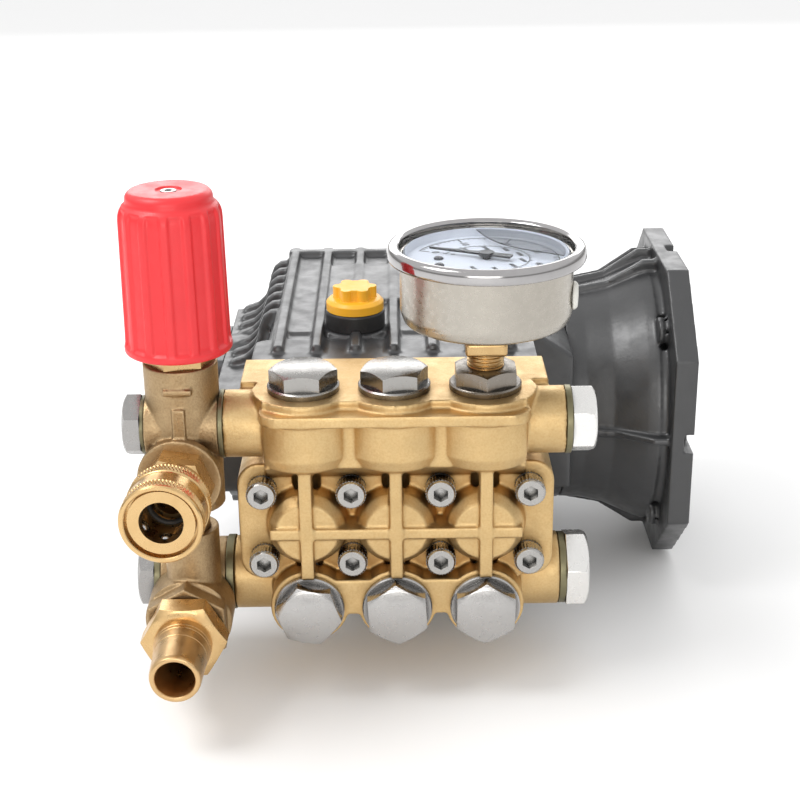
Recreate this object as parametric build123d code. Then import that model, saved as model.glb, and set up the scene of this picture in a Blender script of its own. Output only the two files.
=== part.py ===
"""Triplex plunger pump for a pressure washer: crankcase, brass manifold, unloader valve and fittings.

Origin: centre of the motor flange's mating face, on the crankshaft axis.
+X points out of the flange towards the motor, -Y is the manifold's side, +Z is up.
"""
from build123d import *
import math
import os

# ---------------------------------------------------------------- driving dimensions (mm)
CYLINDER_X = [-152.0, -120.0, -88.0]
MIDDLE_X = CYLINDER_X[1]
THROW = 3.0
CRANK_ANGLES = [0.0, 120.0, 240.0]
ROD_LENGTH = 62.0
PLUNGER_R = 7.5
PISTON_R = 13.0
FIT = 0.05

HEAD_BACK_Y = -96.0
HEAD_SEAT_Y = -128.2
HEAD_TOP_Z = 51.0
VALVE_Y = -126.0
OUTLET_Z = 38.2
INLET_Y = -108.0
INLET_Z = -30.5
SUCTION_FACE_Y = -136.5
CAP_BORE_R = 10.0
CAP_FLANGE_R = 12.75
SCREW_X = [MIDDLE_X - 48.0, MIDDLE_X - 16.0, MIDDLE_X + 16.0, MIDDLE_X + 48.0]
SCREW_Z = 13.6

UNLOADER_X = -194.7
INLET_X = -196.4
UNLOADER_R = 13.0
COUPLER_Z = 23.5
COUPLER_SWING = -3.0
TAIL_Z = -35.3

FLANGE_ACROSS = 127.0
FLANGE_CUT_Y = 31.5
FLANGE_CUT_Z = 28.0
FLANGE_THICK = 9.0
BOLT_CIRCLE_R = 57.5
BOLT_HOLE_R = 4.5
REGISTER_R = 47.5
REGISTER_DEPTH = 4.0
SHAFT_BORE_R = 12.0

BOX_LEFT_X = -192.0
BOX_RIGHT_X = -49.0
BOX_BACK_Y = 46.0
SUMP_R = 45.0
DECK_Z = 49.5
LEFT_BEARING = {"x": (-185.0, -172.0), "bore": 12.5, "outer": 23.5, "races": (15.4, 20.4)}
RIGHT_BEARING = {"x": (-64.0, -47.0), "bore": 17.5, "outer": 36.0, "races": (22.0, 31.5)}

GAUGE_X = CYLINDER_X[2]
GAUGE_FACE_Z = 103.5
BEZEL_R = 34.0
OIL_X = -135.0
OIL_Y = -57.0


# ---------------------------------------------------------------- shape helpers
def place(axis, at, start):
    """Frame whose +Z runs along `axis`; `at` is its place in the two other axes, in order."""
    if axis == "x":
        return Pos(start, at[0], at[1]) * Rot(0, 90, 0)
    if axis == "y":
        return Pos(at[0], start, at[1]) * Rot(-90, 0, 0)
    return Pos(at[0], at[1], start)


def block(x, y, z):
    """Box from the (low, high) pairs of its three sides."""
    centre = Pos(sum(x) / 2, sum(y) / 2, sum(z) / 2)
    return centre * Box(x[1] - x[0], y[1] - y[0], z[1] - z[0])


def rounded_block(x, y, z, radius, axis):
    """Box whose four edges along `axis` are rounded."""
    body = block(x, y, z)
    return fillet(body.edges().filter_by(axis), radius)


def rod(axis, at, radius, start, end):
    """Round bar between two places along an axis."""
    bar = Cylinder(radius, end - start, align=(Align.CENTER, Align.CENTER, Align.MIN))
    return place(axis, at, start) * bar


def ring(axis, at, outer, inner, start, end):
    return rod(axis, at, outer, start, end) - rod(axis, at, inner, start - 1, end + 1)


def turned(axis, at, profile):
    """Solid of revolution from (radius, place along the axis) points."""
    face = make_face(Polyline(*[(r, 0, h) for r, h in profile], close=True))
    return place(axis, at, 0) * revolve(face, Axis.Z)


def hexagon(axis, at, flats, start, end, turn=0.0):
    prism = extrude(RegularPolygon(flats / 2, 6, major_radius=False), end - start)
    return place(axis, at, start) * Rot(0, 0, turn) * prism


def hex_head(axis, at, flats, start, end, turn=0.0):
    """Hexagon from its seat to its outer face, with the outer corners turned off at 30 degrees."""
    corner = flats / math.sqrt(3) + 0.05
    crown = 0.47 * flats
    drop = math.copysign((corner - crown) * math.tan(math.radians(30)), end - start)
    profile = [(0, start), (corner, start), (corner, end - drop), (crown, end), (0, end)]
    prism = hexagon(axis, at, flats, min(start, end), max(start, end), turn)
    return prism & turned(axis, at, profile)


def torus(axis, at, major, minor, middle):
    return place(axis, at, middle) * Torus(major, minor)


def coil(axis, at, radius, wire, start, end, turns):
    """Compression spring whose wire stays between its two ends."""
    length = end - start - 2 * wire
    path = Helix(pitch=length / turns, height=length, radius=radius)
    section = Plane(origin=path @ 0, z_dir=path % 0) * Circle(wire)
    return place(axis, at, start + wire) * sweep(section, path=path, is_frenet=True)


def loose(shapes):
    """Group of separate solids that share one node."""
    solids = []
    for shape in shapes:
        solids.extend(shape.solids())
    return Compound(solids)


def around(count, radius, first=0.0):
    """Points on a circle, as pairs."""
    angles = [math.radians(first + 360.0 * i / count) for i in range(count)]
    return [(radius * math.cos(a), radius * math.sin(a)) for a in angles]


def outline_x(points, x0, x1):
    """Prism along X from (y, z) points."""
    face = make_face(Polyline(*[(x0, y, z) for y, z in points], close=True))
    return extrude(face, x1 - x0, dir=(1, 0, 0))


def outline_y(points, y0, y1):
    """Prism along Y from (x, z) points."""
    face = make_face(Polyline(*[(x, y0, z) for x, z in points], close=True))
    return extrude(face, y1 - y0, dir=(0, 1, 0))


# ---------------------------------------------------------------- crankcase
CHAMBER_R = 39.0
CHAMBER_X = (-171.0, -65.0)
GUIDE_FRONT_Y = -90.0
SHOULDER_FRONT_Y = -62.0
SPIGOT_R = 40.0
BELL_NECK_R = 47.0
BELL_END_R = 57.0
BACK_COVER_Y = (BOX_BACK_Y, BOX_BACK_Y + 5.0)
GLASS_AT = (MIDDLE_X, 4.0)
BACK_OPENING = {"x": (-165.0, -71.0), "z": (-26.0, 34.0)}
BACK_SCREWS = [(x, z) for z in (37.0, -29.0) for x in (-168.5, -118.0, -67.5)]
LEDGE_Z = 23.5
LEFT_COVER_HALF = 26.0
LEFT_COVER_X = (-197.5, BOX_LEFT_X)
LEFT_SCREWS = around(4, 27.9, 45.0)
BELL_SCREWS = around(4, 43.2, 45.0)
FIN_PITCH = 11.6
FIN_COUNT = 7
FIN_THICK = 4.4
FIN_FRONT_Y = -29.0
RIB_PITCH = 14.6
RIB_HEIGHT = 3.0
PAD_BACK_Y = -70.0
PAD_X = (-173.5, -66.5)
OIL_SEAL_R = 11.0
NECK_R = 8.5


def upper_outline(left):
    """Crankcase section above the crank axis; `left` holds the points from its left ledge to the deck."""
    return [(BOX_LEFT_X, 0), (BOX_LEFT_X, LEDGE_Z)] + left + [
        (-67.0, DECK_Z), (-58.0, 44.0), (BOX_RIGHT_X, 38.0), (BOX_RIGHT_X, 0),
    ]


def shoulder_fins():
    """Curved fins that rise from the left ledge to the deck, with deep gaps between them."""
    outline = [
        (-160.0, 10.0), (-188.5, 10.0), (-189.0, LEDGE_Z + 0.5), (-187.8, LEDGE_Z + 2.2), (-182.0, 27.6),
        (-178.4, 31.0), (-176.6, 35.0), (-175.6, 40.5), (-173.8, 44.8), (-170.5, 47.2), (-160.0, 47.8),
    ]
    fins = []
    for i in range(FIN_COUNT):
        y = FIN_FRONT_Y + i * FIN_PITCH
        fins.append(outline_y(outline, y, y + FIN_THICK))
    return fins


def left_end():
    """Bearing housing at the left end, no higher than the fins around it."""
    boss = rod("x", (0, 0), LEFT_BEARING["outer"] + 2.4, BOX_LEFT_X, CHAMBER_X[0])
    sump = rod("x", (0, 0), SUMP_R, BOX_LEFT_X, BOX_RIGHT_X)
    return boss + (sump & block((-200.0, 0.0), (-60.0, 60.0), (-60.0, 10.0)))


def crankcase():
    gaps = [(-185.0, LEDGE_Z), (-178.0, 25.5), (-173.5, 30.0), (-171.5, 36.0), (-169.8, 42.0), (-166.5, 46.0),
            (-166.5, DECK_Z)]
    shell = outline_y(upper_outline(gaps), SHOULDER_FRONT_Y, BOX_BACK_Y)
    for fin in shoulder_fins():
        shell += fin
    shell += left_end()
    shell += rod("x", (0, 0), BELL_NECK_R, BOX_RIGHT_X - 6.0, BOX_RIGHT_X)
    shell += rounded_block((BOX_LEFT_X, BOX_RIGHT_X), (-20.0, BOX_BACK_Y), (-SUMP_R, 5.0), 6.0, Axis.X)
    shell += block((BOX_LEFT_X, BOX_RIGHT_X), (SHOULDER_FRONT_Y, 0), (-19.0, 5.0))
    shell += block((-168.0, -72.0), (HEAD_BACK_Y, -30.0), (-24.0, DECK_Z - 1.0))
    shell += rounded_block(PAD_X, (HEAD_BACK_Y - 10.0, PAD_BACK_Y), (-24.0, DECK_Z), 5.0, Axis.Z)
    shell -= block((-250.0, 50.0), (HEAD_BACK_Y - 20.0, HEAD_BACK_Y), (-100.0, 100.0))
    for i in range(7):
        x = MIDDLE_X + (i - 3) * RIB_PITCH
        top = DECK_Z + RIB_HEIGHT
        rib = [(x - 2.7, DECK_Z - 1), (x - 1.6, top), (x + 1.6, top), (x + 2.7, DECK_Z - 1)]
        shell += outline_y(rib, -86.0, BOX_BACK_Y)
    shell += block((-167.0, -67.0), (40.5, BOX_BACK_Y), (DECK_Z - 1, DECK_Z + RIB_HEIGHT - 0.6))
    shell += block((-146.0, -106.0), (-28.0, 22.0), (DECK_Z - 1, DECK_Z + 2.0))
    shell -= rod("z", (OIL_X, OIL_Y), 12.4, DECK_Z + 1.0, DECK_Z + 5.0)
    shell += rod("z", (OIL_X, OIL_Y), 13.5, DECK_Z - 4, DECK_Z + 1.0)
    # crank chamber, its rear opening, and the two bearing seats
    shell -= rod("x", (0, 0), CHAMBER_R, *CHAMBER_X)
    shell -= block(CHAMBER_X, (-30.0, 30.0), (-34.0, 41.0))
    shell -= block(BACK_OPENING["x"], (20.0, BOX_BACK_Y + 1), BACK_OPENING["z"])
    shell -= rod("x", (0, 0), LEFT_BEARING["outer"], BOX_LEFT_X - 1, CHAMBER_X[0] + 1)
    shell -= rod("x", (0, 0), SPIGOT_R, CHAMBER_X[1] - 1, BOX_RIGHT_X + 1)
    # guide bores, plunger seal seats and the oil filler
    for x in CYLINDER_X:
        shell -= rod("y", (x, 0), PISTON_R + FIT, GUIDE_FRONT_Y, -20.0)
        shell -= rod("y", (x, 0), OIL_SEAL_R, HEAD_BACK_Y - 1, GUIDE_FRONT_Y + 1)
    shell -= rod("z", (OIL_X, OIL_Y), NECK_R, 28.0, DECK_Z + 5)
    shell -= block((OIL_X - 5, OIL_X + 5), (OIL_Y, -25.0), (22.0, 32.0))
    for x in SCREW_X:
        for z in (-SCREW_Z, SCREW_Z):
            shell -= rod("y", (x, z), 3.0, HEAD_BACK_Y - 1, -76.0)
    for y, z in LEFT_SCREWS:
        shell -= rod("x", (y, z), 2.0, BOX_LEFT_X - 1, -182.0)
    for y, z in BELL_SCREWS:
        shell -= rod("x", (y, z), 2.0, -58.0, BOX_RIGHT_X + 1)
    for x, z in BACK_SCREWS:
        shell -= rod("y", (x, z), 2.0, 34.0, BOX_BACK_Y + 1)
    return shell


def rear_cover():
    plate = rounded_block((-176.0, -60.0), BACK_COVER_Y, (-36.0, 44.0), 8.0, Axis.Y)
    inside, outside = BACK_COVER_Y
    plate += rounded_block((-160.0, -76.0), (outside, outside + 3.0), (-20.0, 28.0), 6.0, Axis.Y)
    plate += rod("y", GLASS_AT, 14.0, outside, outside + 6.0)
    plate -= rod("y", GLASS_AT, 9.0, inside - 1, outside + 7.0)
    plate -= rod("y", GLASS_AT, 11.0, outside + 2.0, outside + 7.0)
    for x, z in BACK_SCREWS:
        plate -= rod("y", (x, z), 2.1, inside - 1, outside + 1)
    return plate


def sight_glass():
    inside, outside = BACK_COVER_Y
    lens = rod("y", GLASS_AT, 11.0 - FIT, outside + 2.0, outside + 5.0)
    return lens + rod("y", GLASS_AT, 9.0 - FIT, inside + 1.0, outside + 2.0)


def bearing_cover():
    x0, x1 = LEFT_COVER_X
    half = LEFT_COVER_HALF
    disc = rounded_block((x0, x1), (-half, half), (-half, LEDGE_Z), 5.0, Axis.X)
    disc += ring("x", (0, 0), LEFT_BEARING["outer"] - FIT, 20.0, x1, LEFT_BEARING["x"][0])
    disc -= rod("x", (0, 0), 16.0, x0 - 1, x0 + 1.6)
    for y, z in LEFT_SCREWS:
        disc -= rod("x", (y, z), 2.1, x0 - 1, x1 + 1)
    return disc


def cover_screws():
    """Identical M4 cap screws of the left cover, the bell housing and the rear cover."""
    screws = []
    for y, z in LEFT_SCREWS:
        screws.append(cap_screw("x", (y, z), LEFT_COVER_X[0], 1))
    for y, z in BELL_SCREWS:
        screws.append(cap_screw("x", (y, z), -41.0, -1))
    for x, z in BACK_SCREWS:
        screws.append(cap_screw("y", (x, z), BACK_COVER_Y[1], -1))
    return loose(screws)


def cap_screw(axis, at, seat, sense):
    """M4 socket screw: head on the outside of `seat`, shank running in the direction `sense`."""
    head_end = seat - sense * 4.0
    socket_end = seat - sense * 1.8
    shank_end = seat + sense * 14.0
    head = rod(axis, at, 3.5, min(seat, head_end), max(seat, head_end))
    shank = rod(axis, at, 1.95, min(seat, shank_end), max(seat, shank_end))
    socket = hexagon(axis, at, 3.0, min(head_end, socket_end), max(head_end, socket_end))
    return head + shank - socket


def bell_profile():
    """Outer and inner outline of the bell housing as (radius, x)."""
    outer = [
        (BELL_NECK_R, BOX_RIGHT_X), (BELL_NECK_R, -41.0), (49.5, -30.0), (BELL_END_R - 1.5, -17.0),
        (BELL_END_R, -FLANGE_THICK), (BELL_END_R, 0.0),
    ]
    inner = [
        (REGISTER_R, 0.0), (REGISTER_R, -REGISTER_DEPTH), (44.0, -REGISTER_DEPTH), (44.0, -20.0),
        (34.0, -38.0), (26.0, -38.0), (26.0, -46.0), (30.0, -46.0), (30.0, -47.0),
        (36.0, -47.0), (36.0, -64.0), (SPIGOT_R - FIT, -64.0), (SPIGOT_R - FIT, -49.0),
    ]
    return outer + inner


def bell_housing():
    half = FLANGE_ACROSS / 2
    flat_y = half - FLANGE_CUT_Y
    flat_z = half - FLANGE_CUT_Z
    octagon = [
        (-half, -flat_z), (-flat_y, -half), (flat_y, -half), (half, -flat_z),
        (half, flat_z), (flat_y, half), (-flat_y, half), (-half, flat_z),
    ]
    flange = outline_x(octagon, -FLANGE_THICK, 0.0) - rod("x", (0, 0), 50.0, -FLANGE_THICK - 1, 1)
    bell = turned("x", (0, 0), bell_profile()) & (outline_x(octagon, -70.0, 0.0))
    bell += flange
    envelope = turned("x", (0, 0), [
        (44, -48.0), (48.5, -48.0), (52.0, -30.0), (61.5, -15.0), (61.5, -8.0), (44, -8.0),
    ])
    for angle in (0, 68, 82, 98, 180, 262, 278):
        fin = block((-48.0, -8.0), (45.0, 61.5), (-1.5, 1.5))
        bell += Rot(angle, 0, 0) * (fin & envelope)
    for y, z in around(4, BOLT_CIRCLE_R, 45.0):
        bell -= rod("x", (y, z), BOLT_HOLE_R, -FLANGE_THICK - 1, 1)
        bell -= rod("x", (y, z), 8.0, -24.0, -FLANGE_THICK)
    for y, z in BELL_SCREWS:
        bell -= rod("x", (y, z), 2.1, -50.0, -40.0)
        bell -= rod("x", (y, z), 4.2, -41.0, -25.0)
    for angle in (0, 90, 180, 270):
        notch = block((-4.0, 1.0), (REGISTER_R + 0.8, half + 1.0), (-4.0, 4.0))
        bell -= Rot(angle, 0, 0) * notch
    return bell


# ---------------------------------------------------------------- bearings and oil seals
def outer_races():
    rings = []
    for bearing in (LEFT_BEARING, RIGHT_BEARING):
        rings.append(ring("x", (0, 0), bearing["outer"], bearing["races"][1], *bearing["x"]))
    return loose(rings)


def inner_races():
    """Inner rings with the balls that run on them."""
    pieces = []
    for bearing, count in ((LEFT_BEARING, 9), (RIGHT_BEARING, 9)):
        inner, outer = bearing["races"]
        middle = sum(bearing["x"]) / 2
        ball_r = (outer - inner) / 2 - FIT
        pieces.append(ring("x", (0, 0), inner, bearing["bore"], *bearing["x"]))
        for y, z in around(count, (inner + outer) / 2):
            pieces.append(Pos(middle, y, z) * Sphere(ball_r))
    return loose(pieces)


def oil_seals():
    """Shaft seal in the bell housing and the three plunger seals at the crankcase front."""
    seals = [ring("x", (0, 0), 26.0, RIGHT_BEARING["bore"] + FIT, -46.0, -39.0)]
    for x in CYLINDER_X:
        seals.append(ring("y", (x, 0), OIL_SEAL_R, PLUNGER_R + FIT, -95.5, GUIDE_FRONT_Y))
    return loose(seals)


# ---------------------------------------------------------------- crank drive
ECCENTRIC_R = 22.0
ECCENTRIC_HALF = 7.0
SMALL_END_R = 6.0
PIN_R = 3.2
PIN_HALF = 7.2
PISTON_CAVITY_R = 10.5


def crank_centre(i):
    """Centre of eccentric i at rest, as (y, z)."""
    angle = math.radians(CRANK_ANGLES[i])
    return (THROW * math.cos(angle), THROW * math.sin(angle))


def crankshaft():
    shaft = rod("x", (0, 0), LEFT_BEARING["bore"], -188.0, -171.5)
    shaft += rod("x", (0, 0), 17.0, -171.5, -64.0)
    shaft += rod("x", (0, 0), RIGHT_BEARING["bore"], -64.0, -36.0)
    for i, x in enumerate(CYLINDER_X):
        shaft += rod("x", crank_centre(i), ECCENTRIC_R, x - ECCENTRIC_HALF, x + ECCENTRIC_HALF)
    shaft -= rod("x", (0, 0), SHAFT_BORE_R, -104.0, -35.0)
    shaft -= block((-104.0, -35.0), (-4.0, 4.0), (0.0, 15.3))
    return shaft


def connecting_rod(i):
    """One-piece bronze rod with its wrist pin pressed into the small end."""
    x = CYLINDER_X[i]
    y, z = crank_centre(i)
    body = rod("x", (y, z), 27.5, x - 6.5, x + 6.5)
    body += block((x - 5.0, x + 5.0), (y - ROD_LENGTH, y - 20.0), (z - 4.5, z + 4.5))
    body += rod("x", (y - ROD_LENGTH, z), SMALL_END_R, x - 5.5, x + 5.5)
    body -= rod("x", (y, z), ECCENTRIC_R + FIT, x - 8, x + 8)
    body -= rod("x", (y - ROD_LENGTH, z), PIN_R, x - 8, x + 8)
    pin = rod("x", (y - ROD_LENGTH, z), PIN_R, x - PIN_HALF, x + PIN_HALF)
    return loose([body, pin])


def guide_piston(i):
    """Crosshead piston, hollow towards the crank, with the stem that carries the ceramic plunger."""
    x = CYLINDER_X[i]
    y = crank_centre(i)[0]
    piston = rod("y", (x, 0), PISTON_R, y - 86.0, y - 48.0)
    piston -= rod("y", (x, 0), PISTON_CAVITY_R, y - 79.0, y - 47.0)
    piston += rod("y", (x, 0), PLUNGER_R, y - 94.0, y - 86.0)
    piston += rod("y", (x, 0), 4.0, y - 122.0, y - 94.0)
    return piston


def plunger(i):
    """Ceramic sleeve and the nut that clamps it on the piston's stem."""
    x = CYLINDER_X[i]
    y = crank_centre(i)[0]
    sleeve = ring("y", (x, 0), PLUNGER_R, 4.0, y - 120.0, y - 94.0)
    nut = hexagon("y", (x, 0), 11.0, y - 124.0, y - 120.0) - rod("y", (x, 0), 4.0, y - 125, y - 119)
    return loose([sleeve, nut])


def plunger_packings():
    """Pressure seals of the three plungers: brass retainer, two rubber lip rings and a head ring."""
    pieces = []
    for x in CYLINDER_X:
        pieces.append(ring("y", (x, 0), 10.95, PLUNGER_R + 0.1, -101.0, HEAD_BACK_Y - 1.0))
        pieces.append(ring("y", (x, 0), 10.95, PLUNGER_R + FIT, -105.0, -101.0))
        pieces.append(ring("y", (x, 0), 10.95, PLUNGER_R + FIT, -109.0, -105.0))
        pieces.append(ring("y", (x, 0), 10.95, PLUNGER_R + 0.1, -113.0, -109.0))
    return loose(pieces)


# ---------------------------------------------------------------- manifold
BLOCK_X = (MIDDLE_X - 46.0, MIDDLE_X + 46.0)
PLATE_X = (MIDDLE_X - 55.0, MIDDLE_X + 55.0)
DISCHARGE_FLOOR_Z = 28.5
SUCTION_FLOOR_Y = -115.5
PORT_BORE_R = 6.0
OUTLET_FACE_X = (-180.0, -60.0)
INLET_FACE_X = (-181.0, -59.0)
OUTLET_BOSS_R = 12.0
COLUMN_R = 19.6
WEB_Y = -139.3
LIP_Y = -146.6
LIP_Z = 48.0
INLET_BOSS_R = 13.8


def manifold_cast():
    """Outside of the manifold casting."""
    body = rounded_block((-177.0, -63.0), (HEAD_SEAT_Y, HEAD_BACK_Y), (-23.0, 23.0), 8.0, Axis.Y)
    body += rounded_block(BLOCK_X, (WEB_Y, HEAD_BACK_Y + 10.0), (26.0, 47.0), 6.0, Axis.Z)
    slope = [(WEB_Y, 26.0), (-128.0, 18.0), (HEAD_BACK_Y, 18.0), (HEAD_BACK_Y, 26.0)]
    body += outline_x(slope, *BLOCK_X)
    body += rounded_block((BLOCK_X[0] - 1, BLOCK_X[1] + 1), (LIP_Y, -112.0), (44.0, LIP_Z), 7.0, Axis.Z)
    body += block(PLATE_X, (-119.0, HEAD_BACK_Y), (44.0, HEAD_TOP_Z))
    body += block((BLOCK_X[0], BLOCK_X[1]), (-139.0, HEAD_BACK_Y), (44.0, HEAD_TOP_Z))
    columns = block(BLOCK_X, (-160.0, HEAD_BACK_Y), (0.0, HEAD_TOP_Z))
    for x in CYLINDER_X:
        column = [(0, 23.5), (13.5, 24.0), (17.8, 26.2), (COLUMN_R, 30.5), (COLUMN_R, 46.0), (0, 46.0)]
        body += turned("z", (x, VALVE_Y), column) & columns
        body += rod("z", (x, VALVE_Y), 18.0, 44.0, HEAD_TOP_Z)
        dome = [(0, -138.0), (11.0, -138.0), (14.0, -134.0), (15.0, -127.0), (0, -127.0)]
        body += turned("y", (x, 0), dome)
        body += block((x - 2.3, x + 2.3), (-140.0, -127.0), (-18.0, 26.0))
        body += rod("y", (x, INLET_Z), 14.2, SUCTION_FACE_Y, -100.0)
    body += block((CYLINDER_X[0] - 13.0, CYLINDER_X[2] + 13.0), (-139.5, -127.0), (-2.0, 2.0))
    body += block((CYLINDER_X[0], CYLINDER_X[2]), (SUCTION_FACE_Y, HEAD_BACK_Y), (-34.0, -20.0))
    body += rod("x", (VALVE_Y, OUTLET_Z), OUTLET_BOSS_R, *OUTLET_FACE_X)
    body += rod("x", (INLET_Y, INLET_Z), INLET_BOSS_R, *INLET_FACE_X)
    return body - block((-250.0, 50.0), (HEAD_BACK_Y, 0.0), (-100.0, 100.0))


def manifold():
    body = manifold_cast()
    for x in CYLINDER_X:
        body -= rod("y", (x, 0), 11.0, -113.0, HEAD_BACK_Y + 1)
        body -= rod("y", (x, 0), 9.0, -132.0, -112.0)
        body -= rod("z", (x, VALVE_Y), 5.0, INLET_Z, DISCHARGE_FLOOR_Z + 1)
        body -= rod("z", (x, VALVE_Y), CAP_BORE_R, DISCHARGE_FLOOR_Z, HEAD_TOP_Z + 3)
        body -= rod("y", (x, INLET_Z), CAP_BORE_R, SUCTION_FACE_Y - 3, SUCTION_FLOOR_Y)
        body -= rod("y", (x, INLET_Z), 5.0, SUCTION_FLOOR_Y - 1, INLET_Y)
        body -= rod("y", (x, INLET_Z), CAP_FLANGE_R + 0.25, -150.0, SUCTION_FACE_Y)
    for x in SCREW_X:
        for z in (-SCREW_Z, SCREW_Z):
            body -= rod("y", (x, z), 3.3, HEAD_SEAT_Y - 1, HEAD_BACK_Y + 1)
            body -= rod("y", (x, z), 5.9, -150.0, HEAD_SEAT_Y)
    body -= rod("x", (VALVE_Y, OUTLET_Z), PORT_BORE_R, *OUTLET_FACE_X)
    body -= rod("x", (INLET_Y, INLET_Z), PORT_BORE_R, *INLET_FACE_X)
    return body


def head_screws():
    """Eight M6 socket screws with their spring washers."""
    pieces = []
    for x in SCREW_X:
        for z in (-SCREW_Z, SCREW_Z):
            washer_y = HEAD_SEAT_Y - 1.6
            head = turned("y", (x, z), [
                (0, washer_y), (5.2, washer_y), (5.2, washer_y - 5.4), (4.7, washer_y - 6.0),
                (0, washer_y - 6.0),
            ])
            head += rod("y", (x, z), 2.95, washer_y, -78.0)
            head -= hexagon("y", (x, z), 5.0, washer_y - 7.0, washer_y - 2.6, 30.0)
            pieces.append(head)
            pieces.append(ring("y", (x, z), 5.1, 3.1, washer_y, HEAD_SEAT_Y))
    return loose(pieces)


# ---------------------------------------------------------------- valves
SEAT_DEPTH = 4.0
CAGE_DEPTH = 11.0
SPIGOT_DEPTH = 2.5


def valve_places():
    """Axis, place, floor and direction of the six valve bores: three discharge, then three suction."""
    discharge = [("z", (x, VALVE_Y), DISCHARGE_FLOOR_Z, 1) for x in CYLINDER_X]
    suction = [("y", (x, INLET_Z), SUCTION_FLOOR_Y, -1) for x in CYLINDER_X]
    return discharge + suction


def stepped(axis, at, floor, sense, profile):
    """Solid of revolution whose profile is measured up from the valve bore's floor."""
    return turned(axis, at, [(r, floor + sense * h) for r, h in profile])


def valve_seat(axis, at, floor, sense):
    profile = [(5.0, 0), (9.6, 0), (9.6, SEAT_DEPTH), (5.0, SEAT_DEPTH)]
    return stepped(axis, at, floor, sense, profile)


def valve_poppet(axis, at, floor, sense):
    low = SEAT_DEPTH
    profile = [(0, low), (6.8, low), (6.8, low + 2.0), (2.0, low + 2.0), (2.0, low + 7.4), (0, low + 7.4)]
    return stepped(axis, at, floor, sense, profile)


def valve_cage(axis, at, floor, sense):
    """Windowed cage with the guide that the poppet's stem slides in."""
    low = SEAT_DEPTH
    top = low + CAGE_DEPTH
    profile = [
        (8.2, low), (9.6, low), (9.6, top), (0, top), (0, top - 1.2),
        (2.0 + FIT, top - 1.2), (2.0 + FIT, low + 5.0), (3.2, low + 5.0), (3.2, top - 2.0), (8.2, top - 2.0),
    ]
    cage = stepped(axis, at, floor, sense, profile)
    middle = place(axis, at, floor + sense * (low + 5.0))
    for angle in (0, 60, 120):
        window = Box(24.0, 4.4, 6.0) - Cylinder(5.0, 8.0)
        cage -= middle * Rot(0, 0, angle) * window
    return cage


def valve_spring(axis, at, floor, sense):
    low = floor + sense * (SEAT_DEPTH + 2.0)
    high = floor + sense * (SEAT_DEPTH + CAGE_DEPTH - 2.0)
    return coil(axis, at, 4.3, 0.4, min(low, high), max(low, high), 4)


def cap_body(axis, at, face, sense, floor):
    """Threaded part of a valve cap, from its flange down to the cage."""
    cage_end = floor + sense * (SEAT_DEPTH + CAGE_DEPTH)
    thread_end = cage_end + sense * SPIGOT_DEPTH
    body = turned(axis, at, [
        (0, cage_end), (7.6, cage_end), (7.6, thread_end), (CAP_BORE_R - FIT, thread_end),
        (CAP_BORE_R - FIT, face), (0, face),
    ])
    flange_end = face + sense * 2.3
    body += turned(axis, at, [
        (0, face), (CAP_FLANGE_R, face), (CAP_FLANGE_R, flange_end - sense * 0.5),
        (CAP_FLANGE_R - 0.5, flange_end), (0, flange_end),
    ])
    return body


def discharge_cap(x, turn):
    at = (x, VALVE_Y)
    cap = cap_body("z", at, HEAD_TOP_Z, 1, DISCHARGE_FLOOR_Z)
    return cap + hex_head("z", at, 21.0, HEAD_TOP_Z + 2.3, HEAD_TOP_Z + 8.3, turn)


def discharge_caps():
    return loose([discharge_cap(CYLINDER_X[0], 0.0), discharge_cap(CYLINDER_X[1], 11.0)])


def gauge_cap():
    """Third discharge cap, bored and tapped for the gauge."""
    return discharge_cap(GAUGE_X, 30.0) - rod("z", (GAUGE_X, VALVE_Y), 6.6, 44.0, HEAD_TOP_Z + 10)


def suction_caps():
    caps = []
    for x, turn in zip(CYLINDER_X, (11.0, 27.0, 31.0)):
        at = (x, INLET_Z)
        cap = cap_body("y", at, SUCTION_FACE_Y, -1, SUCTION_FLOOR_Y)
        cap += hex_head("y", at, 21.0, SUCTION_FACE_Y - 2.3, SUCTION_FACE_Y - 8.3, turn)
        caps.append(cap)
    return loose(caps)


# ---------------------------------------------------------------- ports
def port_plugs():
    """Steel plugs that close the manifold's galleries at the motor's side."""
    outlet_at = (VALVE_Y, OUTLET_Z)
    inlet_at = (INLET_Y, INLET_Z)
    outlet = hex_head("x", outlet_at, 21.5, OUTLET_FACE_X[1] + 2.2, OUTLET_FACE_X[1] + 10.8)
    outlet += rod("x", outlet_at, PORT_BORE_R - FIT, OUTLET_FACE_X[1] - 9.0, OUTLET_FACE_X[1] + 3.0)
    inlet = hex_head("x", inlet_at, 26.5, INLET_FACE_X[1] + 2.6, INLET_FACE_X[1] + 11.2, 10.0)
    inlet += rod("x", inlet_at, PORT_BORE_R - FIT, INLET_FACE_X[1] - 9.0, INLET_FACE_X[1] + 3.0)
    return loose([outlet, inlet])


UNLOADER_SIDE = (UNLOADER_X - UNLOADER_R, UNLOADER_X + UNLOADER_R)
INLET_BODY_X = (-208.5, -184.0)


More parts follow.
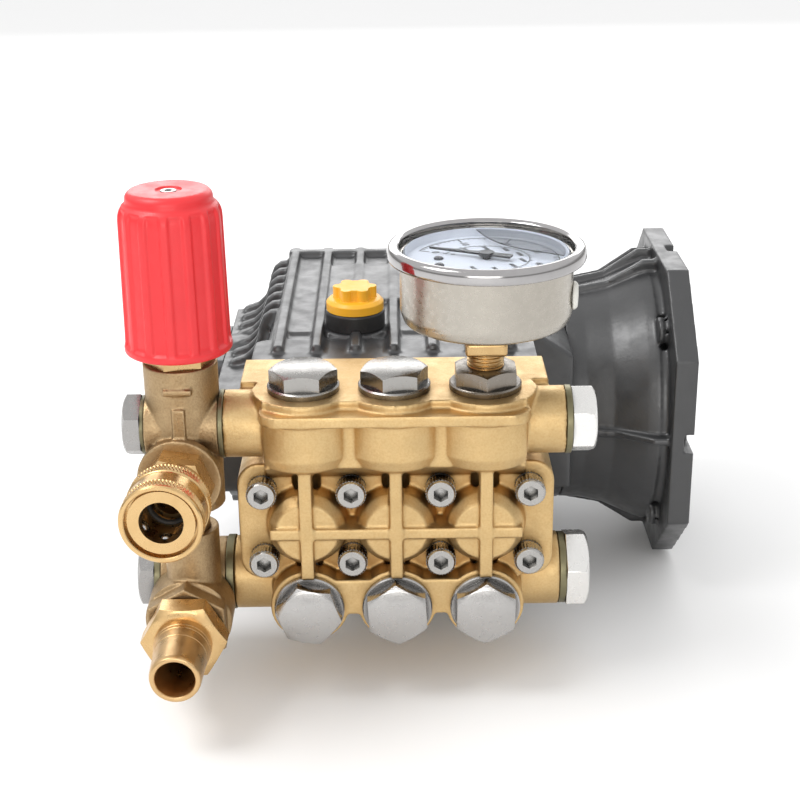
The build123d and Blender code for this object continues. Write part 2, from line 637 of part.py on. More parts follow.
def port_washers():
    """Bonded washers on both galleries: two at the motor's side, four at the fittings."""
    outlet_at = (VALVE_Y, OUTLET_Z)
    inlet_at = (INLET_Y, INLET_Z)
    washers = [
        ring("x", outlet_at, 12.2, 7.0, OUTLET_FACE_X[1], OUTLET_FACE_X[1] + 2.2),
        ring("x", inlet_at, 13.6, 7.0, INLET_FACE_X[1], INLET_FACE_X[1] + 2.6),
        ring("x", outlet_at, 12.2, 7.0, UNLOADER_SIDE[1], OUTLET_FACE_X[0]),
        ring("x", outlet_at, 10.5, 7.0, UNLOADER_SIDE[0] - 1.5, UNLOADER_SIDE[0]),
        ring("x", inlet_at, 14.2, 7.0, INLET_BODY_X[1], INLET_FACE_X[0]),
        ring("x", inlet_at, 12.8, 7.0, INLET_BODY_X[0] - 2.5, INLET_BODY_X[0]),
    ]
    return loose(washers)


def banjo_bolts():
    """Hollow bolts that hold the unloader and the inlet body to the manifold's galleries."""
    bolts = []
    for at, flats, seat, face in (
        ((VALVE_Y, OUTLET_Z), 20.0, UNLOADER_SIDE[0] - 1.5, OUTLET_FACE_X[0]),
        ((INLET_Y, INLET_Z), 24.0, INLET_BODY_X[0] - 2.5, INLET_FACE_X[0]),
    ):
        bolt = hex_head("x", at, flats, seat, seat - 6.2)
        bolt += rod("x", at, PORT_BORE_R - FIT, seat, face + 9.0)
        bolt -= rod("x", at, 3.6, seat + 3.0, face + 10.0)
        bolt -= rod("z", (UNLOADER_X, at[0]), 2.4, at[1] - 8.0, at[1] + 8.0)
        bolts.append(bolt)
    return loose(bolts)


# ---------------------------------------------------------------- unloader valve
UNLOADER_TOP_Z = 62.4
UNLOADER_FOOT_Z = 8.0
BOSS_FACE_Y = -142.5
BYPASS_TOP_Z = -2.0
BYPASS_R = 10.0
SPIGOT_END_Z = -10.0
SPIGOT_BYPASS_R = 7.0
RELIEF_SEAT_Z = 46.0
RELIEF_BORE_R = 9.0
RELIEF_TOP_Z = 51.0
SPRING_SEAT_Z = 64.0
BONNET_BORE_R = 6.5
BONNET_END_Z = 84.0
KNOB_Z = (68.2, 123.4)
KNOB_TRAVEL_DOWN = 4.5
COUPLER_AT = (UNLOADER_X, COUPLER_Z)
UNLOADER_AT = (UNLOADER_X, VALVE_Y)


def swung(shape):
    """Turns a coupler piece with the outlet, which points a little away from the manifold."""
    return Pos(UNLOADER_X, VALVE_Y) * Rot(0, 0, COUPLER_SWING) * Pos(-UNLOADER_X, -VALVE_Y) * shape


def unloader_body():
    at = UNLOADER_AT
    low_x, high_x = UNLOADER_SIDE
    body = rod("z", at, UNLOADER_R, UNLOADER_FOOT_Z, UNLOADER_TOP_Z)
    outlet = rod("y", COUPLER_AT, 14.8, BOSS_FACE_Y, -138.5) + rod("y", COUPLER_AT, 12.5, -139.0, VALVE_Y)
    body += swung(outlet)
    body += rod("z", at, SPIGOT_BYPASS_R - FIT, SPIGOT_END_Z, UNLOADER_FOOT_Z)
    body += rod("x", (VALVE_Y, OUTLET_Z), 11.5, low_x, high_x)
    body += block((UNLOADER_X - 2.2, UNLOADER_X + 2.2), (VALVE_Y - 14.2, VALVE_Y), (38.0, 49.0))
    body += block((UNLOADER_X - 5.0, UNLOADER_X + 5.0), (VALVE_Y - 13.7, VALVE_Y), (54.0, 56.0))
    # inlet port, relief seat and chamber
    body -= rod("x", (VALVE_Y, OUTLET_Z), PORT_BORE_R, low_x - 1, high_x + 1)
    body -= rod("z", at, 4.0, COUPLER_Z, RELIEF_SEAT_Z + 1)
    body -= rod("z", at, RELIEF_BORE_R, RELIEF_SEAT_Z, UNLOADER_TOP_Z + 1)
    # outlet to the coupler
    passage = rod("y", COUPLER_AT, 8.0, BOSS_FACE_Y - 1, -131.0) + rod("y", COUPLER_AT, 5.0, -132.0, VALVE_Y)
    body -= swung(passage)
    # bypass drilling, behind the port bolt and down into the spigot
    body -= rod("z", (UNLOADER_X, VALVE_Y + 9.3), 1.8, 12.0, RELIEF_SEAT_Z + 3)
    body -= rod("y", (UNLOADER_X, 12.0), 1.8, VALVE_Y, VALVE_Y + 11.1)
    body -= rod("z", at, 4.0, SPIGOT_END_Z - 1, 14.0)
    return body


def relief_piston():
    """Piston that the regulating spring holds on its seat, over the passage from the port."""
    low = RELIEF_SEAT_Z + FIT
    return turned("z", UNLOADER_AT, [
        (0, low), (7.6, low), (RELIEF_BORE_R - FIT, low + 2.0), (RELIEF_BORE_R - FIT, 49.5),
        (3.6, 49.5), (3.6, RELIEF_TOP_Z + 1.0), (0, RELIEF_TOP_Z + 1.0),
    ])


def bonnet_nut():
    at = UNLOADER_AT
    nut = hex_head("z", at, 22.0, UNLOADER_TOP_Z, 70.0, 12.0)
    nut += rod("z", at, RELIEF_BORE_R - FIT, 57.0, UNLOADER_TOP_Z)
    nut += rod("z", at, 8.6, 70.0, BONNET_END_Z)
    return nut - rod("z", at, BONNET_BORE_R, 56.0, BONNET_END_Z + 1)


def spring_seat():
    """Disc that rides on the adjusting screw's tip and presses on the regulating spring."""
    seat = rod("z", UNLOADER_AT, BONNET_BORE_R - FIT, SPRING_SEAT_Z, SPRING_SEAT_Z + 3.0)
    return seat + rod("z", UNLOADER_AT, 3.5, SPRING_SEAT_Z - 2.0, SPRING_SEAT_Z)


def regulating_spring():
    return coil("z", UNLOADER_AT, 4.9, 0.7, 49.5, SPRING_SEAT_Z, 5)


def knob():
    """Fluted hand knob with its adjusting screw; it is hollow over the bonnet nut."""
    at = UNLOADER_AT
    low, high = KNOB_Z
    body = turned("z", at, [
        (0, low), (18.3, low), (18.65, low + 0.6), (18.65, low + 3.0), (18.1, low + 3.6),
        (17.2, high - 8.8), (16.7, high - 6.6), (15.8, high - 4.9), (14.5, high - 4.0), (14.5, high - 1.3),
        (13.3, high), (0, high),
    ])
    flute = Cylinder(9.0, high - 4.5 - (low + 3.6), align=(Align.CENTER, Align.CENTER, Align.MIN))
    for x, y in around(14, 25.6, 6.0):
        body -= Pos(at[0] + x, at[1] + y, low + 3.6) * flute
    body -= rod("z", at, 13.3, low - 1, 70.0 + KNOB_TRAVEL_DOWN + 1.0)
    body -= rod("z", at, 9.0, low - 1, BONNET_END_Z + KNOB_TRAVEL_DOWN + 1.0)
    body -= rod("z", at, 2.8, high - 2.2, high + 1)
    return body + rod("z", at, 5.0, SPRING_SEAT_Z + 3.0, BONNET_END_Z + KNOB_TRAVEL_DOWN + 2.0)


def knob_screw():
    high = KNOB_Z[1]
    screw = rod("z", UNLOADER_AT, 2.8 - FIT, high - 2.2, high - 0.4)
    return screw - hexagon("z", UNLOADER_AT, 2.5, high - 1.6, high)


# ---------------------------------------------------------------- quick coupler at the outlet
COUPLER_TUBE_R = 11.4
COUPLER_END_Y = -175.5
SLEEVE_Y = (-177.0, -159.0)
SLEEVE_R = 14.25
COUPLER_BORE_R = 7.5
BALL_R = 2.2
BALL_PITCH_R = 8.85
BALL_Y = -170.0


def coupler_body():
    at = COUPLER_AT
    body = hex_head("y", at, 22.0, BOSS_FACE_Y, -153.0, 8.0)
    body += rod("y", at, 8.0 - FIT, BOSS_FACE_Y, -132.0)
    body += rod("y", at, COUPLER_TUBE_R, COUPLER_END_Y, -152.0)
    body += rod("y", at, 13.0, -159.0, -156.0)
    body += rod("y", at, 10.0, -157.0, -152.0)
    body -= rod("y", at, 5.5, COUPLER_END_Y, -131.0)
    body -= rod("y", at, COUPLER_BORE_R, COUPLER_END_Y - 1, -157.5)
    body -= rod("y", at, 8.6, -161.4, -158.8)
    for x, z in around(6, 1.0, 30.0):
        angle = math.degrees(math.atan2(z, x))
        pocket = Pos(at[0], BALL_Y, at[1]) * Rot(0, 90 - angle, 0) * Pos(0, 0, 6.0)
        body -= pocket * Cylinder(BALL_R + FIT, 8.0, align=(Align.CENTER, Align.CENTER, Align.MIN))
    return swung(body)


def coupler_balls():
    balls = []
    for x, z in around(6, BALL_PITCH_R, 30.0):
        balls.append(swung(Pos(UNLOADER_X + x, BALL_Y, COUPLER_Z + z) * Sphere(BALL_R)))
    return loose(balls)


def coupler_sleeve():
    """Knurled sleeve that slides back against its spring to free the balls."""
    front, back = SLEEVE_Y
    return swung(turned("y", COUPLER_AT, [
        (12.3, front), (SLEEVE_R - 1.0, front), (SLEEVE_R, front + 1.0), (SLEEVE_R, front + 5.0),
        (SLEEVE_R - 0.5, front + 5.5), (SLEEVE_R - 0.5, front + 10.5), (SLEEVE_R, front + 11.0),
        (SLEEVE_R, back - 1.0), (SLEEVE_R - 0.7, back), (13.1, back), (13.1, -167.0),
        (COUPLER_TUBE_R + 0.08, -167.0), (COUPLER_TUBE_R + 0.08, -173.0), (12.3, -173.0),
    ]))


def coupler_spring():
    return swung(coil("y", COUPLER_AT, 12.25, 0.4, -167.0, -159.0, 4))


# ---------------------------------------------------------------- inlet fitting
TAIL_AT = (INLET_X, TAIL_Z)
COLLAR_FACE_Y = -143.5
NUT_Y = (-154.0, -145.0)
TAIL_END_Y = -177.7
TAIL_BORE_R = 6.9


def inlet_body():
    at = (INLET_Y, INLET_Z)
    low_x, high_x = INLET_BODY_X
    body = rod("x", at, 13.5, low_x, high_x)
    body += rod("y", TAIL_AT, 15.8, -137.0, -123.0) + rod("y", TAIL_AT, 12.0, -124.0, INLET_Y)
    body += hexagon("y", TAIL_AT, 28.0, COLLAR_FACE_Y, -136.0, 30.0)
    body += rod("y", TAIL_AT, 11.4, -148.0, COLLAR_FACE_Y)
    body += rod("z", UNLOADER_AT, BYPASS_R, TAIL_Z, BYPASS_TOP_Z)
    body -= rod("x", at, PORT_BORE_R, low_x - 1, high_x + 1)
    body -= rod("x", at, 9.0, low_x + 5.0, high_x - 5.0)
    body -= rod("y", TAIL_AT, TAIL_BORE_R, -149.0, INLET_Y)
    body -= rod("z", UNLOADER_AT, SPIGOT_BYPASS_R, SPIGOT_END_Z - 0.5, BYPASS_TOP_Z + 1)
    body -= rod("z", UNLOADER_AT, 5.0, TAIL_Z, BYPASS_TOP_Z)
    return body


def inlet_nut():
    front, back = NUT_Y
    nut = hex_head("y", TAIL_AT, 27.0, back, front)
    nut -= rod("y", TAIL_AT, 11.5, -150.3, back + 1)
    return nut - rod("y", TAIL_AT, 10.0 + FIT, front - 1, -150.0)


def inlet_tail():
    """Tapered hose tail with a collar that the nut clamps, one low ring and a rolled rim."""
    profile = [
        (TAIL_BORE_R, -148.1), (11.2, -148.1), (11.2, -150.2), (9.9, -150.2), (9.9, -159.0), (9.5, -160.0),
        (9.2, -171.0), (9.55, -172.5), (9.5, -174.5), (9.1, -175.3), (9.3, TAIL_END_Y + 0.8),
        (8.7, TAIL_END_Y), (TAIL_BORE_R, TAIL_END_Y),
    ]
    return turned("y", TAIL_AT, profile)


# ---------------------------------------------------------------- pressure gauge
GAUGE_AT = (GAUGE_X, VALVE_Y)
CASE_R = 29.65
CASE_Z = (75.0, 98.5)
DIAL_Z = (94.0, 95.0)
LENS_Z = (100.4, 102.2)
SPINDLE_R = 1.2


def gauge_case():
    low, high = CASE_Z
    return turned("z", GAUGE_AT, [
        (5.1, low), (CASE_R - 5.0, low), (CASE_R - 1.5, low + 1.5), (CASE_R, low + 5.0), (CASE_R, high),
        (32.4, high), (32.4, high + 1.4), (CASE_R - 1.2, high + 1.4), (CASE_R - 1.2, low + 5.4),
        (CASE_R - 5.4, low + 1.3), (5.1, low + 1.3),
    ])


def gauge_bezel():
    top = GAUGE_FACE_Z
    return turned("z", GAUGE_AT, [
        (32.5, top - 5.3), (BEZEL_R - 0.6, top - 5.3), (BEZEL_R, top - 4.6), (BEZEL_R, top - 1.8),
        (BEZEL_R - 0.6, top - 0.5), (BEZEL_R - 2.0, top), (30.6, top - 0.3), (29.6, top - 1.3),
        (32.5, top - 1.3),
    ])


def gauge_lens():
    return rod("z", GAUGE_AT, 32.3, *LENS_Z)


def gauge_dial():
    """Dial plate and the spacer ring that the lens rests on."""
    dial = ring("z", GAUGE_AT, 28.3, SPINDLE_R + 0.3, *DIAL_Z)
    spacer = ring("z", GAUGE_AT, 28.3, 27.4, DIAL_Z[1], LENS_Z[0])
    return dial + spacer


def gauge_pointer():
    """Pointer on its spindle: the tip points between -X and +Y, the tail the other way."""
    hub = rod("z", GAUGE_AT, 2.6, 96.0, 97.4)
    spindle = rod("z", GAUGE_AT, SPINDLE_R, 86.0, 96.0)
    outline = [(0, 1.3), (-21.0, 0.25), (-21.0, -0.25), (0, -1.3), (9.0, -1.7), (9.0, 1.7)]
    blade = make_face(Polyline(*outline, close=True))
    needle = Pos(GAUGE_X, VALVE_Y, 96.3) * Rot(0, 0, -24.0) * extrude(blade, 0.7)
    return hub + spindle + needle


def gauge_stem():
    """Brass socket of the gauge with its square shoulder and threaded end, and the Bourdon tube on it."""
    stem = rod("z", GAUGE_AT, 6.5, 54.0, 59.3) + rod("z", GAUGE_AT, 6.05, 59.3, 69.0)
    stem += rounded_block(
        (GAUGE_X - 7.0, GAUGE_X + 7.0), (VALVE_Y - 7.0, VALVE_Y + 7.0), (69.0, 75.0), 1.5, Axis.Z)
    stem += rod("z", GAUGE_AT, 5.0, 75.0, 82.0)
    stem -= rod("z", GAUGE_AT, 2.0, 53.0, 80.0)
    arc = Edge.make_circle(18.0, Plane(origin=(GAUGE_X, VALVE_Y, 82.0)), 0, 250)
    section = Plane(origin=arc @ 0, z_dir=arc % 0) * Circle(1.5)
    tube = sweep(section, path=arc)
    foot = block((GAUGE_X - 1.5, GAUGE_X + 20.0), (VALVE_Y - 3.0, VALVE_Y + 0.5), (79.5, 83.0))
    return stem + foot + tube


# ---------------------------------------------------------------- oil filler
FILLER_Z = (DECK_Z + 1.0, DECK_Z + 8.0)


def oil_filler():
    """Black filler neck screwed into the crankcase deck."""
    at = (OIL_X, OIL_Y)
    low, high = FILLER_Z
    neck = turned("z", at, [
        (0, 40.0), (NECK_R - FIT, 40.0), (NECK_R - FIT, low), (11.6, low), (11.6, high - 0.6),
        (11.0, high), (0, high),
    ])
    return neck - rod("z", at, 6.0, 39.0, high + 1)


def oil_cap():
    """Yellow cap with a lobed grip; its plug closes the filler neck."""
    at = (OIL_X, OIL_Y)
    low = FILLER_Z[1]
    cap = turned("z", at, [
        (0, low), (11.2, low), (11.2, low + 3.2), (10.0, low + 4.4), (8.0, low + 4.8), (0, low + 4.8),
    ])
    cap += rod("z", at, 6.6, low + 4.0, low + 9.3)
    for x, y in around(6, 6.2):
        cap += rod("z", (at[0] + x, at[1] + y), 2.3, low + 4.0, low + 9.3)
    return cap + rod("z", at, 6.0 - FIT, 46.0, low)


# ---------------------------------------------------------------- rubber rings
def o_rings():
    """Rings under the six valve caps and in the quick coupler's socket."""
    rings = []
    for axis, at, floor, sense in valve_places():
        middle = floor + sense * (SEAT_DEPTH + CAGE_DEPTH + SPIGOT_DEPTH / 2)
        rings.append(torus(axis, at, 8.78, 1.1, middle))
    rings.append(swung(torus("y", COUPLER_AT, 7.4, 1.15, -160.1)))
    return loose(rings)


# ---------------------------------------------------------------- output
def nodes():
    """Name and shape of every node."""
    places = valve_places()
    made = {
        "crankcase": crankcase(), "rear_cover": rear_cover(), "sight_glass": sight_glass(),
        "bearing_cover": bearing_cover(), "cover_screws": cover_screws(), "bell_housing": bell_housing(),
        "bearing_outer_rings": outer_races(), "bearing_inner_rings": inner_races(), "oil_seals": oil_seals(),
        "crankshaft": crankshaft(), "plunger_packings": plunger_packings(),
        "manifold": manifold(), "head_screws": head_screws(),
        "valve_seats": loose([valve_seat(*p) for p in places]),
        "valve_cages": loose([valve_cage(*p) for p in places]),
        "valve_springs": loose([valve_spring(*p) for p in places]),
        "discharge_caps": discharge_caps(), "gauge_cap": gauge_cap(), "suction_caps": suction_caps(),
        "o_rings": o_rings(), "port_plugs": port_plugs(), "port_washers": port_washers(),
        "banjo_bolts": banjo_bolts(), "unloader_body": unloader_body(), "relief_piston": relief_piston(),
        "regulating_spring": regulating_spring(), "bonnet_nut": bonnet_nut(), "spring_seat": spring_seat(),
        "knob": knob(), "knob_screw": knob_screw(), "coupler_body": coupler_body(),
        "coupler_balls": coupler_balls(), "coupler_sleeve": coupler_sleeve(),
        "coupler_spring": coupler_spring(),
        "inlet_body": inlet_body(), "inlet_nut": inlet_nut(), "inlet_tail": inlet_tail(),
        "gauge_case": gauge_case(), "gauge_bezel": gauge_bezel(), "gauge_lens": gauge_lens(),
        "gauge_dial": gauge_dial(), "gauge_pointer": gauge_pointer(), "gauge_stem": gauge_stem(),
        "oil_filler": oil_filler(), "oil_cap": oil_cap(),
    }
    for i in range(3):
        made[f"connecting_rod_{i + 1}"] = connecting_rod(i)
        made[f"guide_piston_{i + 1}"] = guide_piston(i)
        made[f"plunger_{i + 1}"] = plunger(i)
        made[f"discharge_poppet_{i + 1}"] = valve_poppet(*places[i])
        made[f"suction_poppet_{i + 1}"] = valve_poppet(*places[i + 3])
    return made


os.makedirs("parts", exist_ok=True)
for name, shape in nodes().items():
    export_step(shape, os.path.join("parts", name + ".step"))
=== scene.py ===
"""Looks of the pressure washer pump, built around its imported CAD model. Metres, +Z up."""
import math

import bmesh
import bpy
import numpy as np
from mathutils import Matrix, Vector


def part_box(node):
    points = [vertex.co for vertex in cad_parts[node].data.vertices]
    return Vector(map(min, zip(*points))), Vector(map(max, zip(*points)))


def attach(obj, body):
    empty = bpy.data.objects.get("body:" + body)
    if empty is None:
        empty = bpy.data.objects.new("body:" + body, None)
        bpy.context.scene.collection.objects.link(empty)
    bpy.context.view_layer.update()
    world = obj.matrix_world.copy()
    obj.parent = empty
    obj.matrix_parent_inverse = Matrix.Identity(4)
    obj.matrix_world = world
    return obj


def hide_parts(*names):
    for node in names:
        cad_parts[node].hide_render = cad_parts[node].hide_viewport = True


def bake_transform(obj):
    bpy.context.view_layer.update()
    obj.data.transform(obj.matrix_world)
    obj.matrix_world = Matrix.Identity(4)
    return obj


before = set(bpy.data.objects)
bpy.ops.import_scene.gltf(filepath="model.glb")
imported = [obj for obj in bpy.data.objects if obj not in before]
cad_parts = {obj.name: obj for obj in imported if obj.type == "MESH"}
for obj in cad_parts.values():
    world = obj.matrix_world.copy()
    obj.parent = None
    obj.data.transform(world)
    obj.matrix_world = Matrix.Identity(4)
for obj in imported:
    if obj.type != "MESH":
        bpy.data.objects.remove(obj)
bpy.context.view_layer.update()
MM = 0.001
AXES = {"x": Vector((1, 0, 0)), "y": Vector((0, 1, 0)), "z": Vector((0, 0, 1))}


# ---------------------------------------------------------------- places, read from the frame
def centre(node):
    """Middle of a CAD node's box, in metres."""
    low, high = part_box(node)
    return (low + high) / 2


KNOB_AT = centre("knob")
GAUGE_AT = centre("gauge_bezel")
SLEEVE_AT = centre("coupler_sleeve")
TAIL_AT = centre("inlet_tail")
CYLINDER_X = [centre(f"suction_poppet_{i}").x for i in (1, 2, 3)]
COUPLER_SWING = math.radians(-3.0)


# ---------------------------------------------------------------- shader helpers
class Shader:
    """Builds one procedural material; every pattern is read in the row frame, in metres."""

    def __init__(self, name, colour, metallic=0.0, roughness=0.5, **sockets):
        self.material = bpy.data.materials.new(name)
        self.material.use_nodes = True
        self.tree = self.material.node_tree
        self.tree.nodes.clear()
        output = self.add("ShaderNodeOutputMaterial")
        self.bsdf = self.add("ShaderNodeBsdfPrincipled")
        self.link(self.bsdf.outputs["BSDF"], output.inputs["Surface"])
        self.bsdf.inputs["Base Color"].default_value = (*colour, 1.0)
        self.bsdf.inputs["Metallic"].default_value = metallic
        self.bsdf.inputs["Roughness"].default_value = roughness
        for socket, value in sockets.items():
            self.bsdf.inputs[socket.replace("_", " ")].default_value = value
        self.place = self.add("ShaderNodeTexCoord").outputs["Object"]
        self.height = None

    def add(self, kind, **settings):
        """New shader node with the given settings."""
        node = self.tree.nodes.new(kind)
        for key, value in settings.items():
            setattr(node, key, value)
        return node

    def link(self, source, target):
        self.tree.links.new(source, target)

    def noise(self, size, detail=4.0, roughness=0.55, stretch=(1.0, 1.0, 1.0), distortion=0.0):
        """Noise whose blobs are about `size` millimetres wide."""
        mapping = self.add("ShaderNodeMapping")
        mapping.inputs["Scale"].default_value = stretch
        self.link(self.place, mapping.inputs["Vector"])
        node = self.add("ShaderNodeTexNoise")
        node.inputs["Scale"].default_value = 1.0 / (size * MM)
        node.inputs["Detail"].default_value = detail
        node.inputs["Roughness"].default_value = roughness
        node.inputs["Distortion"].default_value = distortion
        self.link(mapping.outputs["Vector"], node.inputs["Vector"])
        return node.outputs["Fac"]

    def ramp(self, value, low, high, start=0.35, end=0.65):
        """Map Range from `start`..`end` to `low`..`high`, clamped."""
        node = self.add("ShaderNodeMapRange")
        node.inputs["From Min"].default_value = start
        node.inputs["From Max"].default_value = end
        node.inputs["To Min"].default_value = low
        node.inputs["To Max"].default_value = high
        self.link(value, node.inputs["Value"])
        return node.outputs["Result"]

    def blend(self, factor, first, second, mode="MIX"):
        """Colour mix; `first` and `second` are colours or sockets."""
        node = self.add("ShaderNodeMix", data_type="RGBA", blend_type=mode)
        self.link(factor, node.inputs[0])
        for source, target in ((first, node.inputs[6]), (second, node.inputs[7])):
            if isinstance(source, bpy.types.NodeSocket):
                self.link(source, target)
            else:
                target.default_value = (*source, 1.0)
        return node.outputs[2]

    def colour(self, source):
        """Drives the base colour."""
        self.link(source, self.bsdf.inputs["Base Color"])

    def rough(self, source):
        """Drives the roughness."""
        self.link(source, self.bsdf.inputs["Roughness"])

    def bump(self, value, depth, strength=1.0):
        """Adds a height pattern, `depth` millimetres deep, on top of the ones before it."""
        node = self.add("ShaderNodeBump")
        node.inputs["Strength"].default_value = strength
        node.inputs["Distance"].default_value = depth * MM
        self.link(value, node.inputs["Height"])
        if self.height is not None:
            self.link(self.height, node.inputs["Normal"])
        self.height = node.outputs["Normal"]
        self.link(self.height, self.bsdf.inputs["Normal"])

    def math(self, operation, first, second=0.0):
        node = self.add("ShaderNodeMath", operation=operation)
        for i, source in enumerate((first, second)):
            if isinstance(source, bpy.types.NodeSocket):
                self.link(source, node.inputs[i])
            else:
                node.inputs[i].default_value = source
        return node.outputs[0]

    def vector(self, operation, first, second):
        node = self.add("ShaderNodeVectorMath", operation=operation)
        for i, source in enumerate((first, second)):
            if isinstance(source, bpy.types.NodeSocket):
                self.link(source, node.inputs[i])
            else:
                node.inputs[i].default_value = source
        return node.outputs["Value" if operation in ("LENGTH", "DOT_PRODUCT") else "Vector"]

    def cavity(self, reach):
        """0 in corners and recesses, 1 on open faces, looking `reach` millimetres around."""
        node = self.add("ShaderNodeAmbientOcclusion", samples=8)
        node.inputs["Distance"].default_value = reach * MM
        return node.outputs["AO"]


def cast_brass(name, light, dark, grain=0.55, roughness=0.44):
    """Sand-blasted cast brass: fine grain, cloudy colour and painted shade, darker and redder, in its
    recesses.
    """
    s = Shader(name, light, metallic=1.0, roughness=roughness)
    cloudy = s.blend(s.ramp(s.noise(14.0, 3.0), 0.0, 1.0), light, [c * 0.90 for c in light])
    speckle = s.blend(s.ramp(s.noise(0.8, 2.0), 0.0, 0.35, 0.4, 0.75), cloudy, dark)
    # Painted shade: the colour turns to the dark colour wherever the surface is occluded.
    s.colour(s.blend(s.ramp(s.cavity(7.0), 0.7, 0.0, 0.3, 0.9), speckle, dark))
    s.rough(s.ramp(s.noise(6.0, 4.0), roughness - 0.06, roughness + 0.08))
    s.bump(s.noise(3.2, 3.0), 0.16)
    s.bump(s.noise(grain, 3.0, 0.7), 0.11)
    return s.material


def smooth_brass(name, colour, roughness=0.2, axis="y"):
    """Turned brass: fine lathe lines round the axis and a faint tarnish."""
    s = Shader(name, colour, metallic=1.0, roughness=roughness, Anisotropic=0.35)
    tarnish = s.ramp(s.noise(9.0, 5.0), 0.0, 0.55, 0.45, 0.75)
    s.colour(s.blend(tarnish, colour, [colour[0] * 0.82, colour[1] * 0.76, colour[2] * 0.68]))
    s.rough(s.ramp(s.noise(5.0, 4.0), roughness - 0.05, roughness + 0.10))
    stretch = {"x": (1, 0.02, 0.02), "y": (0.02, 1, 0.02), "z": (0.02, 0.02, 1)}[axis]
    s.bump(s.noise(0.35, 2.0, stretch=stretch), 0.02)
    return s.material


def turned_steel(name, colour, axis, roughness=0.24):
    """Faced steel: anisotropic, with rings round each piece's own axis (attribute `axis_point`) and
    painted shade in its corners and sockets.
    """
    s = Shader(name, colour, metallic=1.0, roughness=roughness, Anisotropic=0.7)
    point = s.add("ShaderNodeAttribute", attribute_name="axis_point").outputs["Vector"]
    away = s.vector("SUBTRACT", s.place, point)
    flat = s.vector("MULTIPLY", away, [1.0 - c for c in AXES[axis]])
    radius = s.vector("LENGTH", flat, (0, 0, 0))
    rings = s.math("SINE", s.math("MULTIPLY", radius, 2 * math.pi / (0.45 * MM)))
    s.link(s.vector("CROSS_PRODUCT", flat, tuple(AXES[axis])), s.bsdf.inputs["Tangent"])
    s.bump(rings, 0.006)
    s.bump(s.noise(1.2, 3.0), 0.01)
    steel_tone = s.blend(s.ramp(s.noise(7.0, 5.0), 0.0, 0.6), colour, [c * 0.97 for c in colour])
    # Painted shade: darkens the colour in corners and sockets, such as round each cap's flange.
    s.colour(s.blend(s.ramp(s.cavity(5.0), 0.9, 0.0, 0.4, 0.9), steel_tone, [c * 0.12 for c in colour]))
    s.rough(s.ramp(s.noise(2.5, 4.0), roughness - 0.03, roughness + 0.05))
    return s.material


def plain_steel(name, colour, roughness=0.3, scratch=0.02, reach=2.5):
    """Machined or rolled steel, with painted shade darkening its corners and sockets; `reach` 0 leaves
    them without it.
    """
    s = Shader(name, colour, metallic=1.0, roughness=roughness)
    steel_tone = s.blend(s.ramp(s.noise(4.0, 5.0), 0.0, 0.6), colour, [c * 0.94 for c in colour])
    if reach:
        # Painted shade: darkens the colour in corners and sockets.
        steel_tone = s.blend(s.ramp(s.cavity(reach), 0.95, 0.0, 0.35, 0.9), steel_tone, [c * 0.10 for c in colour])
    s.colour(steel_tone)
    s.rough(s.ramp(s.noise(2.0, 4.0), roughness - 0.04, roughness + 0.07))
    s.bump(s.noise(0.5, 3.0, stretch=(1, 0.15, 1)), scratch)
    return s.material


def enamel(name, colour, roughness=0.42):
    """Satin paint on a die casting: faint orange peel, painted shade in the recesses, thin edges."""
    s = Shader(name, colour, roughness=roughness, Specular_IOR_Level=0.8)
    worn = s.blend(s.ramp(s.noise(11.0, 5.0), 0.0, 0.7), colour, [c * 1.2 for c in colour])
    # Painted shade: darkens the colour in the recesses and beside the ribs.
    s.colour(s.blend(s.ramp(s.cavity(6.0), 0.6, 0.0, 0.4, 0.95), worn, [c * 0.45 for c in colour]))
    s.rough(s.ramp(s.noise(8.0, 4.0), roughness - 0.06, roughness + 0.10))
    s.bump(s.noise(1.6, 2.0), 0.035)
    s.bump(s.noise(0.35, 2.0), 0.015)
    return s.material


def plastic(name, colour, roughness=0.35, **sockets):
    """Moulded plastic, rubber or ceramic, with a faint unevenness."""
    s = Shader(name, colour, roughness=roughness, **sockets)
    s.colour(s.blend(s.ramp(s.noise(16.0, 3.0), 0.0, 0.6), colour, [c * 0.92 for c in colour]))
    s.rough(s.ramp(s.noise(5.0, 4.0), roughness - 0.05, roughness + 0.08))
    s.bump(s.noise(0.6, 2.0), 0.012)
    return s.material


def glass(name, tint=(0.97, 0.985, 1.0)):
    """Thin clear window; its low IOR leaves what's behind it undistorted."""
    s = Shader(name, tint, roughness=0.02, Transmission_Weight=1.0, IOR=1.02)
    s.rough(s.ramp(s.noise(9.0, 3.0), 0.01, 0.04))
    return s.material


